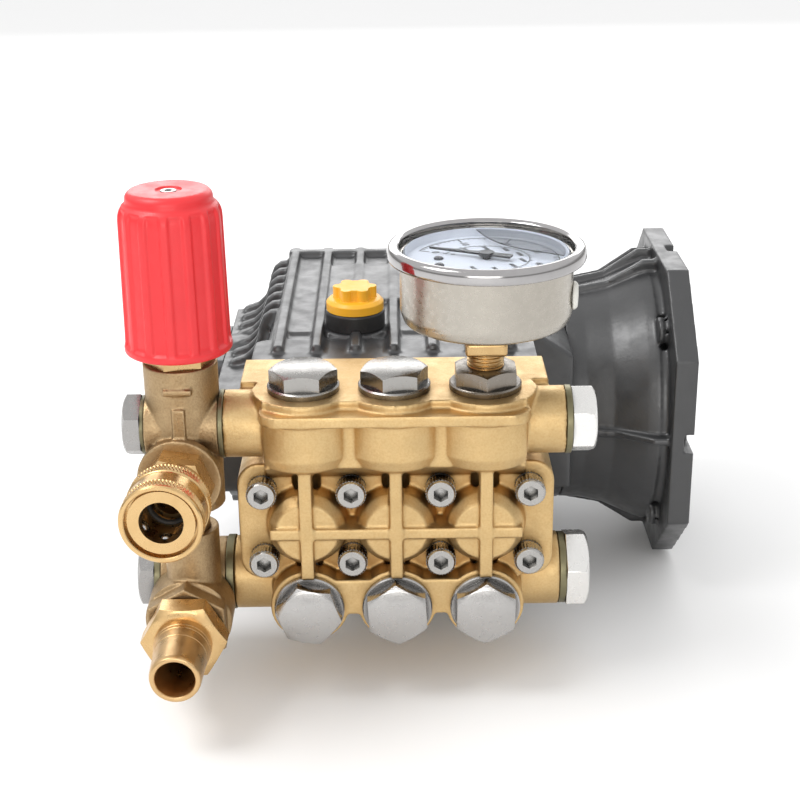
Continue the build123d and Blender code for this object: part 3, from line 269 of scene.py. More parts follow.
MATERIALS = {
    "grey_paint": enamel("grey_paint", (0.032, 0.0325, 0.034), 0.36),
    "clear_lens": glass("clear_lens"),
    "bubble_glass": glass("bubble_glass", (0.62, 0.62, 0.62)),
    "dark_steel": plain_steel("dark_steel", (0.10, 0.10, 0.105), 0.38),
    "bearing_steel": plain_steel("bearing_steel", (0.60, 0.61, 0.63), 0.18, 0.006),
    "black_rubber": plastic("black_rubber", (0.018, 0.018, 0.018), 0.6),
    "forged_steel": plain_steel("forged_steel", (0.38, 0.38, 0.40), 0.3),
    "packing": plastic("packing", (0.05, 0.045, 0.04), 0.7),
    "cast_brass": cast_brass("cast_brass", (0.66, 0.475, 0.235), (0.48, 0.27, 0.09)),
    "zinc_steel": plain_steel("zinc_steel", (0.42, 0.41, 0.395), 0.26),
    "stainless": plain_steel("stainless", (0.55, 0.55, 0.56), 0.25),
    "white_plastic": plastic("white_plastic", (0.72, 0.71, 0.66), 0.45),
    "cap_steel": turned_steel("cap_steel", (0.36, 0.35, 0.335), "z"),
    "cap_steel_y": turned_steel("cap_steel_y", (0.44, 0.43, 0.42), "y"),
    "plug_steel": turned_steel("plug_steel", (0.80, 0.79, 0.77), "x"),
    "banjo_steel": turned_steel("banjo_steel", (0.34, 0.33, 0.32), "x"),
    "dark_nickel": turned_steel("dark_nickel", (0.26, 0.235, 0.205), "z", 0.28),
    "washer_bronze": plain_steel("washer_bronze", (0.22, 0.20, 0.12), 0.42, 0.03),
    "brown_brass": cast_brass("brown_brass", (0.46, 0.33, 0.185), (0.20, 0.115, 0.05), 0.8, 0.46),
    "turned_brass": smooth_brass("turned_brass", (0.64, 0.43, 0.215), 0.32),
    "turned_brass_z": smooth_brass("turned_brass_z", (0.56, 0.38, 0.18), 0.26, "z"),
    "polished_brass": smooth_brass("polished_brass", (0.66, 0.45, 0.215), 0.27),
    "red_plastic": plastic("red_plastic", (0.76, 0.024, 0.03), 0.40, Coat_Weight=0.12, Coat_Roughness=0.3),
    "gauge_steel": plain_steel("gauge_steel", (0.45, 0.42, 0.37), 0.28, 0.015, 0),
    "polished_steel": plain_steel("polished_steel", (0.42, 0.41, 0.41), 0.10, 0.004, 0),
    "dial_white": plastic("dial_white", (0.66, 0.69, 0.76), 0.6),
    "pointer_black": plastic("pointer_black", (0.02, 0.02, 0.02), 0.45),
    "black_plastic": plastic("black_plastic", (0.022, 0.022, 0.022), 0.42),
    "yellow_plastic": plastic("yellow_plastic", (0.90, 0.46, 0.025), 0.38),
    "rod_bronze": plain_steel("rod_bronze", (0.50, 0.34, 0.18), 0.35),
    "ceramic": plastic("ceramic", (0.86, 0.85, 0.80), 0.12),
}


# ---------------------------------------------------------------- mesh helpers
def finished(name, mesh, body, slot, material=None, replaced=(), smooth=40.0):
    """Puts a mesh in the scene on its body, with its material slot, and hides the CAD nodes that it
    replaces.
    """
    piece = bpy.data.objects.new(name, mesh)
    bpy.context.scene.collection.objects.link(piece)
    mesh.materials.clear()
    mesh.materials.append(MATERIALS[material or slot])
    if body:
        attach(piece, body)
    if replaced:
        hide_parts(*replaced)
    shade(mesh, smooth)
    return piece


def shade(mesh, degrees):
    """Smooth shading, with edges sharper than the angle kept sharp."""
    if "custom_normal" in mesh.attributes:
        mesh.attributes.remove(mesh.attributes["custom_normal"])
    mesh.shade_smooth()
    mesh.set_sharp_from_angle(angle=math.radians(degrees))


def welded(node):
    """Copy of a CAD node's mesh with its split corners joined and its flat faces merged."""
    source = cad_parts[node].data
    bm = bmesh.new()
    bm.from_mesh(source)
    bmesh.ops.remove_doubles(bm, verts=bm.verts, dist=0.004 * MM)
    bmesh.ops.dissolve_limit(bm, angle_limit=math.radians(0.6), verts=bm.verts, edges=bm.edges)
    mesh = bpy.data.meshes.new(node + "_copy")
    bm.to_mesh(mesh)
    bm.free()
    return mesh


def loose_parts(mesh):
    """Vertex numbers of every loose part."""
    count = len(mesh.vertices)
    root = list(range(count))

    def find(i):
        while root[i] != i:
            root[i] = root[root[i]]
            i = root[i]
        return i

    for edge in mesh.edges:
        a, b = edge.vertices
        root[find(a)] = find(b)
    groups = {}
    for i in range(count):
        groups.setdefault(find(i), []).append(i)
    return list(groups.values())


def with_axis_points(mesh):
    """Gives every loose part's vertices the middle of the part, for the turned materials."""
    attribute = mesh.attributes.new("axis_point", "FLOAT_VECTOR", "POINT")
    for members in loose_parts(mesh):
        points = np.array([mesh.vertices[i].co for i in members])
        middle = (points.min(0) + points.max(0)) / 2
        for i in members:
            attribute.data[i].vector = middle


def bevelled(node, body, slot, width=0.25, segments=2, material=None, axis=None, angle=32.0):
    """A CAD node's shape with its sharp edges rounded, `width` in millimetres."""
    mesh = welded(node)
    if axis:
        with_axis_points(mesh)
    piece = finished(node + "_rounded", mesh, body, slot, material, [node])
    bevel = piece.modifiers.new("edges", "BEVEL")
    bevel.width = width * MM
    bevel.segments = segments
    bevel.limit_method = "ANGLE"
    bevel.angle_limit = math.radians(angle)
    bevel.harden_normals = False
    return piece


def evaluated(piece):
    """The piece's mesh with its modifiers applied."""
    bpy.context.view_layer.update()
    graph = bpy.context.evaluated_depsgraph_get()
    return bpy.data.meshes.new_from_object(piece.evaluated_get(graph))


def primitive(shapes):
    """One mesh from closed solids, given as functions that add to a bmesh."""
    bm = bmesh.new()
    for shape in shapes:
        shape(bm)
    mesh = bpy.data.meshes.new("shapes")
    bm.to_mesh(mesh)
    bm.free()
    return mesh


def cone(start, end, r0, r1, sides=48):
    """Closed cone or cylinder between two points, in millimetres."""
    def make(bm):
        a, b = Vector(start) * MM, Vector(end) * MM
        turn = (b - a).to_track_quat("Z", "Y").to_matrix().to_4x4()
        place = Matrix.Translation((a + b) / 2) @ turn
        bmesh.ops.create_cone(
            bm, cap_ends=True, segments=sides, radius1=r0 * MM, radius2=r1 * MM,
            depth=(b - a).length, matrix=place)
    return make


def box(low, high):
    """Closed box between two corners, in millimetres."""
    def make(bm):
        a, b = Vector(low) * MM, Vector(high) * MM
        place = Matrix.Translation((a + b) / 2) @ Matrix.Diagonal((*(b - a), 1))
        bmesh.ops.create_cube(bm, size=1.0, matrix=place)
    return make


def casting(name, node, body, slot, voxel, extras=(), faces=90000):
    """Cast version of a CAD node.

    It's melted with any extra solids on a grid of `voxel` millimetres, then its edges are softened.
    """
    bm = bmesh.new()
    bm.from_mesh(welded(node))
    if extras:
        bm.from_mesh(primitive(extras))
    mesh = bpy.data.meshes.new(name)
    bm.to_mesh(mesh)
    bm.free()
    rough = bpy.data.objects.new(name + "_rough", mesh)
    bpy.context.scene.collection.objects.link(rough)
    remesh = rough.modifiers.new("melt", "REMESH")
    remesh.mode = "VOXEL"
    remesh.voxel_size = voxel * MM
    soften = rough.modifiers.new("soften", "SMOOTH")
    soften.factor = 0.5
    soften.iterations = 2
    melted = evaluated(rough)
    rough.modifiers.clear()
    rough.data = melted
    if len(melted.polygons) > faces:
        fewer = rough.modifiers.new("fewer", "DECIMATE")
        fewer.ratio = faces / (2.0 * len(melted.polygons))
        melted = evaluated(rough)
    bpy.data.objects.remove(rough)
    return finished(name, melted, body, slot, None, [node], smooth=60.0)


def lathe(profile, axis, at, segments=96, warp=None, closed=True):
    """Mesh turned from (radius, height) points in millimetres.

    `warp(angle, radius, height)` gives each point's new radius and height.
    """
    bm = bmesh.new()
    rows = []
    for radius, height in profile:
        row = []
        for i in range(segments):
            angle = 2 * math.pi * i / segments
            r, h = warp(angle, radius, height) if warp else (radius, height)
            row.append(bm.verts.new((r * MM * math.cos(angle), r * MM * math.sin(angle), h * MM)))
        rows.append(row)
    pairs = list(zip(rows, rows[1:]))
    if closed:
        pairs.append((rows[-1], rows[0]))
    for first, second in pairs:
        for i in range(segments):
            j = (i + 1) % segments
            bm.faces.new((first[i], first[j], second[j], second[i]))
    bmesh.ops.remove_doubles(bm, verts=bm.verts, dist=0.002 * MM)
    bmesh.ops.recalc_face_normals(bm, faces=bm.faces)
    turn = {"z": Matrix.Identity(4), "y": Matrix.Rotation(math.radians(-90), 4, "X"),
            "x": Matrix.Rotation(math.radians(90), 4, "Y")}[axis]
    bmesh.ops.transform(bm, matrix=Matrix.Translation(at) @ turn, verts=bm.verts)
    mesh = bpy.data.meshes.new("lathe")
    bm.to_mesh(mesh)
    bm.free()
    return mesh


def eased(points, radius, steps=4):
    """The polyline with every inner corner rounded by up to `radius`."""
    made = [points[0]]
    for before, corner, after in zip(points, points[1:], points[2:]):
        b, c, a = Vector(before), Vector(corner), Vector(after)
        cut = min(radius, (b - c).length * 0.45, (a - c).length * 0.45)
        start, end = c + (b - c).normalized() * cut, c + (a - c).normalized() * cut
        for i in range(steps + 1):
            t = i / steps
            made.append(tuple((1 - t) ** 2 * start + 2 * t * (1 - t) * c + t * t * end))
    made.append(points[-1])
    return made


# ---------------------------------------------------------------- castings
BELL_OUTLINE = [(47.2, -46.0), (47.2, -41.0), (49.6, -30.0), (55.6, -17.0), (57.0, -12.5)]
BELL_WALL = [(54.0, -12.5), (52.6, -17.0), (47.2, -30.0), (45.6, -41.0), (45.6, -46.0)]
BOLT_CIRCLE_R = 57.5


def manifold():
    """Sand-blasted brass head with softened corners and the two slanted ribs beside the front lip."""
    middle = CYLINDER_X[1] / MM
    extras = []
    for side in (-1, 1):
        top = (middle + side * 50, -121, 45)
        foot = (middle + side * 58, -112, 30)
        extras.append(cone(top, foot, 2.6, 3.2))
    return casting("manifold_cast", "manifold", "housing", "cast_brass", 0.6, extras, 150000)


def crankcase():
    """Painted cast crankcase."""
    return casting("crankcase_cast", "crankcase", "housing", "grey_paint", 0.9, (), 120000)


def bell_housing():
    """Painted bell; its cone is closed over the screw pockets and over the bolt holes' inner ends."""
    cover = lathe(BELL_OUTLINE + BELL_WALL, "x", (0, 0, 0), 128)
    extras = [lambda bm: bm.from_mesh(cover)]
    for y, z in ((-1, -1), (-1, 1), (1, -1), (1, 1)):
        hole = BOLT_CIRCLE_R / math.sqrt(2)
        extras.append(cone((-13.2, y * hole, z * hole), (-11.0, y * hole, z * hole), 5.6, 5.6))
    return casting("bell_housing_cast", "bell_housing", "housing", "grey_paint", 0.8, extras)


def unloader_body():
    """Darker cast brass body of the unloader valve."""
    return casting("unloader_cast", "unloader_body", "housing", "brown_brass", 0.45, (), 70000)


def inlet_body():
    """Darker cast brass elbow of the inlet."""
    return casting("inlet_cast", "inlet_body", "housing", "brown_brass", 0.45, (), 70000)


# ---------------------------------------------------------------- hand knob
RIBS = 14
RIB_DEPTH = 0.95
RIB_STEP = 1.5


def knob():
    """Moulded knob: rounded ribs run up to the shoulder below a raised round top."""
    low, high = (c.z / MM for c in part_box("knob"))
    outside = eased([
        (13.3, low), (18.2, low), (18.65, low + 0.6), (18.65, low + 2.2), (18.3, low + 3.2),
        (18.2, low + 6), (17.7, high - 9.5), (17.5, high - 7.6), (16.6, high - 5.4), (14.9, high - 4.1),
        (14.75, high - 1.6), (13.3, high), (4.6, high - 0.1),
    ], 1.0, 4)
    rows = [outside[0]]
    for a, b in zip(outside, outside[1:]):
        parts = max(1, int(math.dist(a, b) / RIB_STEP))
        for k in range(1, parts + 1):
            rows.append((a[0] + (b[0] - a[0]) * k / parts, a[1] + (b[1] - a[1]) * k / parts))
    rows += [(4.2, high - 0.7), (2.85, high - 0.8), (2.85, high - 2.2), (0.0, high - 2.2)]

    def ribbed(angle, radius, height):
        foot = min(1.0, max(0.0, (height - low - 2.4) / 1.2))
        top = min(1.0, max(0.0, (high - 5.2 - height) / 1.6))
        phase = (angle * RIBS / (2 * math.pi)) % 1.0
        crest = 1.0 / (1.0 + math.exp((abs(phase - 0.5) - 0.19) / 0.022))
        return radius - RIB_DEPTH * foot * top * (1.0 - crest), height

    mesh = lathe(rows, "z", (KNOB_AT.x, KNOB_AT.y, 0), RIBS * 24, ribbed, closed=False)
    hollow = eased([
        (13.3, low), (13.3, 75.5), (9.0, 75.5), (9.0, 89.5), (5.0, 89.5), (5.0, 67.0), (0.0, 67.0),
    ], 0.3, 2)
    bm = bmesh.new()
    bm.from_mesh(mesh)
    bm.from_mesh(lathe(hollow, "z", (KNOB_AT.x, KNOB_AT.y, 0), RIBS * 24, closed=False))
    bmesh.ops.remove_doubles(bm, verts=bm.verts, dist=0.002 * MM)
    bmesh.ops.recalc_face_normals(bm, faces=bm.faces)
    bm.to_mesh(mesh)
    bm.free()
    finished("knob_moulded", mesh, "knob", "red_plastic", None, ["knob"], smooth=50.0)


# ---------------------------------------------------------------- quick coupler
KNURL_TEETH = 72
KNURL_R = 14.25
KNURL_LEAD = 2.6
KNURL_DEPTH = 0.55
SLEEVE_ORIGIN = -143.0


def coupler_sleeve():
    """Brass sleeve with two slanted knurl bands and a plain band between them."""
    front, back = -177.0, -159.0
    bands = ((front + 1.2, front + 5.2), (back - 5.2, back - 0.8))
    second = bands[1][0]
    steps = 16
    rows = [
        [(KNURL_R, start + (end - start) * k / steps) for k in range(1, steps + 1)]
        for start, end in bands
    ]
    plain_start = bands[0][1]
    profile = [
        (12.3, front + 0.3), (12.6, front), (13.6, front), (14.1, front + 0.5), (KNURL_R, front + 1.2),
    ]
    profile += rows[0]
    profile += eased([
        (14.0, plain_start + 0.2), (13.75, plain_start + 0.6), (13.75, second - 0.6), (14.0, second - 0.2),
        (KNURL_R, second),
    ], 0.4, 3)
    profile += rows[1]
    profile += [
        (13.6, back), (13.1, back), (13.1, -167.0), (11.48, -167.0), (11.48, -173.0), (12.3, -173.0),
    ]

    def knurl(angle, radius, height):
        for start, end in bands:
            if start < height < end and radius > 14.0:
                lead = KNURL_TEETH * angle / (2 * math.pi) + (height - start) / KNURL_LEAD
                tooth = abs((lead % 1.0) * 2 - 1)
                fade = min(1.0, (height - start) / 0.5, (end - height) / 0.5)
                return radius - KNURL_DEPTH * fade * tooth, height
        return radius, height

    mesh = lathe([(r, h - SLEEVE_ORIGIN) for r, h in profile], "y", (0, 0, 0), KNURL_TEETH * 8,
                 lambda a, r, h: (knurl(a, r, h + SLEEVE_ORIGIN)[0], h))
    swing = Matrix.Rotation(COUPLER_SWING, 4, "Z")
    pivot = Vector((KNOB_AT.x, KNOB_AT.y, 0))
    start = Vector((KNOB_AT.x, SLEEVE_ORIGIN * MM, SLEEVE_AT.z))
    about_knob = Matrix.Translation(pivot) @ swing @ Matrix.Translation(-pivot)
    mesh.transform(about_knob @ Matrix.Translation(start))
    finished("coupler_sleeve_knurled", mesh, "sleeve", "polished_brass", None, ["coupler_sleeve"],
             smooth=30.0)


# ---------------------------------------------------------------- pressure gauge
POINTER_REST = math.radians(156.0)
DIAL_LIFT = 2.4
DIAL_FACE = 95.0 + DIAL_LIFT
DIAL_TOP = POINTER_REST - math.radians(135.0)
SCALE_START = POINTER_REST
SCALE_SWEEP = math.radians(270.0)
SCALE_LABELS = [0, 10, 20, 30, 40, 50, 60]


def gauge_case():
    """Spun steel case with its inward lip under the bezel."""
    low, high = 75.0, 98.5
    profile = eased([
        (5.1, low), (24.6, low), (28.4, low + 1.5), (29.65, low + 5.0), (29.65, high), (32.4, high),
        (32.4, high + 1.4), (28.4, high + 1.4), (28.4, low + 5.4), (24.2, low + 1.3), (5.1, low + 1.3),
    ], 1.0, 4)
    mesh = lathe(profile, "z", (GAUGE_AT.x, GAUGE_AT.y, 0), 160)
    finished("gauge_case_spun", mesh, "housing", "gauge_steel", None, ["gauge_case"], smooth=45.0)


def gauge_bezel():
    """Rolled bezel with a rounded crown."""
    top = 103.5
    profile = eased([
        (32.5, top - 5.3), (33.5, top - 5.3), (34.0, top - 4.4), (34.0, top - 2.0), (33.3, top - 0.6),
        (32.0, top), (30.7, top - 0.25), (29.6, top - 1.3), (32.5, top - 1.3),
    ], 1.0, 6)
    mesh = lathe(profile, "z", (GAUGE_AT.x, GAUGE_AT.y, 0), 192)
    finished("gauge_bezel_rolled", mesh, "housing", "polished_steel", None, ["gauge_bezel"], smooth=50.0)


def on_dial(angle, radius, height):
    """Point at an angle and radius (mm) from the gauge's axis, at a height (mm)."""
    return Vector((GAUGE_AT.x + radius * MM * math.cos(angle), GAUGE_AT.y + radius * MM * math.sin(angle),
                   height * MM))


def on_scale(i, divisions):
    """Angle of the scale's division number `i`."""
    return SCALE_START - SCALE_SWEEP * i / divisions


def dial_print():
    """Outer and inner scale rings with their ticks, raised a hair above the dial plate."""
    bm = bmesh.new()
    ink = DIAL_FACE + 0.06

    def bar(angle, inner, outer, width):
        along = Vector((math.cos(angle), math.sin(angle), 0))
        across = Vector((-along.y, along.x, 0)) * width * MM / 2
        corners = ((inner, -1), (outer, -1), (outer, 1), (inner, 1))
        points = [on_dial(angle, r, ink) + s * across for r, s in corners]
        bottom = [bm.verts.new(p) for p in points]
        top = [bm.verts.new(p + Vector((0, 0, 0.05 * MM))) for p in points]
        bm.faces.new(bottom[::-1])
        bm.faces.new(top)
        for i in range(4):
            j = (i + 1) % 4
            bm.faces.new((bottom[i], bottom[j], top[j], top[i]))

    divisions = 60
    for i in range(divisions + 1):
        inner = 21.2 if i % 10 == 0 else 22.6 if i % 5 == 0 else 23.4
        bar(on_scale(i, divisions), inner, 24.6, 0.55 if i % 10 == 0 else 0.28)
    arcs = 180
    for i in range(arcs + 1):
        bar(on_scale(i, arcs), 24.6, 24.9, 0.66)
        bar(on_scale(i, arcs), 14.6, 14.8, 0.42)
    inner_divisions = 40
    for i in range(inner_divisions + 1):
        bar(on_scale(i, inner_divisions), 14.8, 16.0 if i % 5 == 0 else 15.5, 0.24)
    mesh = bpy.data.meshes.new("dial_print")
    bm.to_mesh(mesh)
    bm.free()
    finished("dial_print", mesh, "housing", "pointer_black", smooth=20.0)


def dial_numbers():
    """Numbers of the outer scale and the smaller ones of the inner scale."""
    words = [(on_scale(i, 6), 18.9, str(label), 3.9) for i, label in enumerate(SCALE_LABELS)]
    words += [(on_scale(i, 8), 12.4, str(1000 * i), 2.2) for i in range(9)]
    for i, (angle, radius, word, size) in enumerate(words):
        curve = bpy.data.curves.new(f"number_{i}", "FONT")
        curve.body = word
        curve.size = size * MM
        curve.align_x = "CENTER"
        curve.align_y = "CENTER"
        curve.extrude = 0.03 * MM
        text = bpy.data.objects.new(f"number_{i}_text", curve)
        bpy.context.scene.collection.objects.link(text)
        mesh = evaluated(text)
        bpy.data.objects.remove(text)
        turn = Matrix.Rotation(DIAL_TOP - math.pi / 2, 4, "Z")
        mesh.transform(Matrix.Translation(on_dial(angle, radius, DIAL_FACE + 0.09)) @ turn)
        finished(f"dial_number_{i}", mesh, "housing", "pointer_black", smooth=20.0)


def dial_screws():
    """Two small domed screws that hold the dial plate."""
    foot = DIAL_FACE
    dome = eased([(0, foot), (1.7, foot), (1.7, foot + 0.4), (1.2, foot + 0.8), (0, foot + 0.9)], 0.2, 3)
    for i, (x, y) in enumerate(((-16.3, 0.0), (-16.3, -7.7))):
        mesh = lathe(dome, "z", (GAUGE_AT.x + x * MM, GAUGE_AT.y + y * MM, 0), 32, closed=False)
        finished(f"dial_screw_{i}", mesh, "housing", "pointer_black", "dark_steel", smooth=50.0)


def dial_plate():
    """White dial with its spacer ring, and the pointer, held close under the window."""
    low = DIAL_FACE - 1.0
    ring_top = 100.4
    plate = eased([
        (1.5, low), (28.3, low), (28.3, ring_top), (27.7, ring_top), (27.4, DIAL_FACE), (1.5, DIAL_FACE),
    ], 0.2, 2)
    mesh = lathe(plate, "z", (GAUGE_AT.x, GAUGE_AT.y, 0), 128)
    finished("gauge_dial_plate", mesh, "housing", "dial_white", None, ["gauge_dial"], smooth=40.0)
    pointer = welded("gauge_pointer")
    pointer.transform(Matrix.Translation((0, 0, DIAL_LIFT * MM)))
    finished("gauge_pointer_raised", pointer, "pointer", "pointer_black", None, ["gauge_pointer"])


def liquid_edge():
    """Dark rim of the air bubble left in the liquid filling, and the greyer window over it."""
    line = [(-2.0, 26.4), (0.6, 17.5), (5.0, 8.5), (12.0, 1.5), (19.0, -2.5), (25.6, -7.0)]
    path = eased(line, 4.0, 5)
    level = 100.1
    rim = [on_dial(math.atan2(y, x), math.hypot(x, y), level) for x, y in path]
    bm = bmesh.new()
    rings = []
    wire_r = 0.18 * MM
    sides = 8
    for i, point in enumerate(rim):
        along = (rim[min(i + 1, len(rim) - 1)] - rim[max(i - 1, 0)]).normalized()
        across = along.cross(AXES["z"])
        rings.append([
            bm.verts.new(point + wire_r * (math.cos(t) * across + math.sin(t) * AXES["z"]))
            for t in (2 * math.pi * k / sides for k in range(sides))])
    for first, second in zip(rings, rings[1:]):
        for k in range(sides):
            m = (k + 1) % sides
            bm.faces.new((first[k], first[m], second[m], second[k]))
    bm.faces.new(rings[0][::-1])
    bm.faces.new(rings[-1])
    bmesh.ops.recalc_face_normals(bm, faces=bm.faces)
    mesh = bpy.data.meshes.new("liquid_edge")
    bm.to_mesh(mesh)
    bm.free()
    finished("gauge_liquid_edge", mesh, "housing", "clear_lens", "pointer_black", smooth=60.0)
    start = math.atan2(line[0][1], line[0][0])
    end = math.atan2(line[-1][1], line[-1][0])
    arcs = 30
    around_rim = [on_dial(end + (start - end) * k / arcs, 26.8, level) for k in range(arcs + 1)]
    outline = rim + around_rim
    half = 0.1 * MM * AXES["z"]
    bm = bmesh.new()
    top = [bm.verts.new(p + half) for p in outline]
    bottom = [bm.verts.new(p - half) for p in outline]
    bm.faces.new(top)
    bm.faces.new(bottom[::-1])
    for k in range(len(outline)):
        m = (k + 1) % len(outline)
        bm.faces.new((top[k], bottom[k], bottom[m], top[m]))
    bmesh.ops.recalc_face_normals(bm, faces=bm.faces)
    mesh = bpy.data.meshes.new("air_bubble")
    bm.to_mesh(mesh)
    bm.free()
    finished("gauge_air_bubble", mesh, "housing", "clear_lens", "bubble_glass", smooth=30.0)


def stem_details():
    """Square shoulder of the gauge's socket and the thread below it."""
    half = 7.3
    x, y = GAUGE_AT.x / MM, GAUGE_AT.y / MM
    shoulder = primitive([box((x - half, y - half, 64.2), (x + half, y + half, 69.5))])
    piece = finished("gauge_stem_shoulder", shoulder, "housing", "turned_brass", "turned_brass_z")
    bevel = piece.modifiers.new("edges", "BEVEL")
    bevel.width = 1.4 * MM
    bevel.segments = 4
    pitch, low, turns = 1.34, 59.6, 4
    root_r, crest_r = 6.05, 6.55
    profile = [(5.9, low)]
    for i in range(turns):
        start = low + i * pitch
        profile += [
            (root_r, start + 0.1), (crest_r, start + 0.55), (crest_r, start + 0.75), (root_r, start + 1.2),
        ]
    profile += [(5.9, low + turns * pitch)]
    mesh = lathe(profile, "z", (GAUGE_AT.x, GAUGE_AT.y, 0), 96)
    finished("gauge_stem_thread", mesh, "housing", "turned_brass", "turned_brass_z", smooth=30.0)


def head_screw_knurls():
    """Straight knurling round the eight socket screw heads of the manifold."""
    mesh = welded("head_screws")
    with_axis_points(mesh)
    heads = {}
    values = mesh.attributes["axis_point"].data
    for vertex in mesh.vertices:
        key = tuple(round(c, 5) for c in values[vertex.index].vector)
        heads.setdefault(key, []).append(vertex.co.copy())
    teeth = 30
    depth = 0.28
    for number, (middle, points) in enumerate(sorted(heads.items())):
        radius = max(math.hypot(p.x - middle[0], p.z - middle[2]) for p in points) / MM
        front = min(p.y for p in points) / MM
        if radius < 4.0 or front > -100.0:
            continue

        def toothed(angle, r, height, radius=radius):
            wave = abs((angle * teeth / (2 * math.pi)) % 1.0 * 2 - 1)
            return (r + depth * wave, height) if r > radius - 0.05 else (r, height)

        near, far, inside = front + 0.9, front + 5.4, radius - 0.8
        profile = [(inside, near), (radius, near), (radius, far), (inside, far)]
        knurl = lathe(profile, "y", (middle[0], 0, middle[2]), teeth * 6, toothed)
        finished(f"head_screw_knurl_{number}", knurl, "housing", "zinc_steel", smooth=20.0)


def inlet_tail():
    """Hose tail with a smooth taper, two faint rings and a rounded rim."""
    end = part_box("inlet_tail")[0].y / MM
    bore = 6.9
    profile = eased([
        (bore, -148.1), (11.2, -148.1), (11.2, -150.2), (10.5, -150.3), (10.3, -157.0), (10.1, -157.3),
        (10.1, -158.6), (9.9, -158.9), (9.7, -163.0), (9.5, -163.3), (9.1, end + 1.6), (8.7, end + 0.3),
        (8.1, end), (7.2, end + 0.2), (bore, end + 0.7),
    ], 0.5, 4)
    mesh = lathe(profile, "y", (TAIL_AT.x, 0, TAIL_AT.z), 128)
    finished("inlet_tail_turned", mesh, "housing", "turned_brass", None, ["inlet_tail"], smooth=40.0)


def springs():
    """Each valve spring becomes a piece of its own, named after the poppet nearest to it; the regulating
    and coupler springs are copied whole.
    """
    whole = welded("valve_springs")
    for members in loose_parts(whole):
        bm = bmesh.new()
        bm.from_mesh(whole)
        bm.verts.ensure_lookup_table()
        kept = set(members)
        bmesh.ops.delete(bm, geom=[v for v in bm.verts if v.index not in kept], context="VERTS")
        mesh = bpy.data.meshes.new("valve_spring")
        bm.to_mesh(mesh)
        bm.free()
        points = [v.co for v in mesh.vertices]
        middle = sum(points, Vector()) / len(points)
        nearest = min(
            ((kind, i) for kind in ("discharge", "suction") for i in (1, 2, 3)),
            key=lambda valve: (centre(f"{valve[0]}_poppet_{valve[1]}") - middle).length)
        kind, i = nearest
        piece = finished(f"{kind}_spring_{i}", mesh, None, "stainless", None, ["valve_springs"])
        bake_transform(piece)
    low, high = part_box("regulating_spring")
    piece = finished("regulating_spring_wire", welded("regulating_spring"), None, "stainless", None,
                     ["regulating_spring"])
    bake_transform(piece)
    low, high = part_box("coupler_spring")
    middle = (low + high) / 2
    piece = finished("coupler_spring_wire", welded("coupler_spring"), None, "stainless", None,
                     ["coupler_spring"])
    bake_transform(piece)


def vent_plug():
    """Rubber blow-out plug in the gauge case's side."""
    profile = eased([
        (0, 28.9), (3.2, 28.9), (3.2, 29.7), (4.9, 29.7), (4.9, 30.4), (4.0, 31.4), (0, 31.6),
    ], 0.5, 4)
    mesh = lathe(profile, "x", (0, 0, 0), 48, closed=False)
    turn = Matrix.Rotation(math.radians(-8), 4, "Z")
    mesh.transform(Matrix.Translation((GAUGE_AT.x, GAUGE_AT.y, 85.5 * MM)) @ turn)
    finished("gauge_vent_plug", mesh, "housing", "white_plastic", smooth=50.0)


# ---------------------------------------------------------------- the other pieces
ROUNDED = [
    # node, body, slot, edge radius (mm), material, axis of its turned faces
    ("rear_cover", "housing", "grey_paint", 0.6, None, None),
    ("bearing_cover", "housing", "grey_paint", 0.6, None, None),
    ("sight_glass", "housing", "clear_lens", 0.3, None, None),
    ("cover_screws", "housing", "dark_steel", 0.2, None, None),
    ("bearing_outer_rings", "housing", "bearing_steel", 0.4, None, None),
    ("bearing_inner_rings", "crank", "bearing_steel", 0.3, None, None),
    ("oil_seals", "housing", "black_rubber", 0.4, None, None),
    ("crankshaft", "crank", "forged_steel", 0.5, None, None),
    ("plunger_packings", "housing", "packing", 0.2, None, None),
    ("head_screws", "housing", "zinc_steel", 0.22, None, None),
    ("valve_seats", "housing", "stainless", 0.2, None, None),
    ("valve_cages", "housing", "white_plastic", 0.15, None, None),
    ("discharge_caps", "housing", "cap_steel", 0.25, None, "z"),
    ("gauge_cap", "housing", "dark_nickel", 0.25, None, "z"),
    ("suction_caps", "housing", "cap_steel", 0.25, "cap_steel_y", "y"),
    ("port_plugs", "housing", "cap_steel", 0.25, "plug_steel", "x"),
    ("port_washers", "housing", "washer_bronze", 0.25, None, None),
    ("banjo_bolts", "housing", "cap_steel", 0.25, "banjo_steel", "x"),
    ("relief_piston", "relief", "stainless", 0.2, None, None),
    ("bonnet_nut", "housing", "turned_brass", 0.3, "turned_brass_z", None),
    ("spring_seat", "adjuster", "turned_brass", 0.2, "turned_brass_z", None),
    ("knob_screw", "knob", "zinc_steel", 0.12, None, None),
    ("coupler_body", "housing", "polished_brass", 0.25, None, None),
    ("inlet_nut", "housing", "polished_brass", 0.4, None, None),
    ("gauge_stem", "housing", "turned_brass", 0.3, "turned_brass_z", None),
    ("oil_filler", "housing", "black_plastic", 0.35, None, None),
    ("oil_cap", "oil_cap", "yellow_plastic", 0.6, None, None),
]
AS_DRAWN = [
    ("coupler_balls", "bearing_steel"), ("o_rings", "black_rubber"), ("gauge_lens", "clear_lens"),
]
for number in (1, 2, 3):
    ROUNDED += [
        (f"connecting_rod_{number}", f"rod_{number}", "rod_bronze", 0.5, None, None),
        (f"guide_piston_{number}", f"piston_{number}", "bearing_steel", 0.4, None, None),
        (f"plunger_{number}", f"piston_{number}", "ceramic", 0.2, None, None),
        (f"discharge_poppet_{number}", f"discharge_valve_{number}", "stainless", 0.15, None, None),
        (f"suction_poppet_{number}", f"suction_valve_{number}", "stainless", 0.15, None, None),
    ]


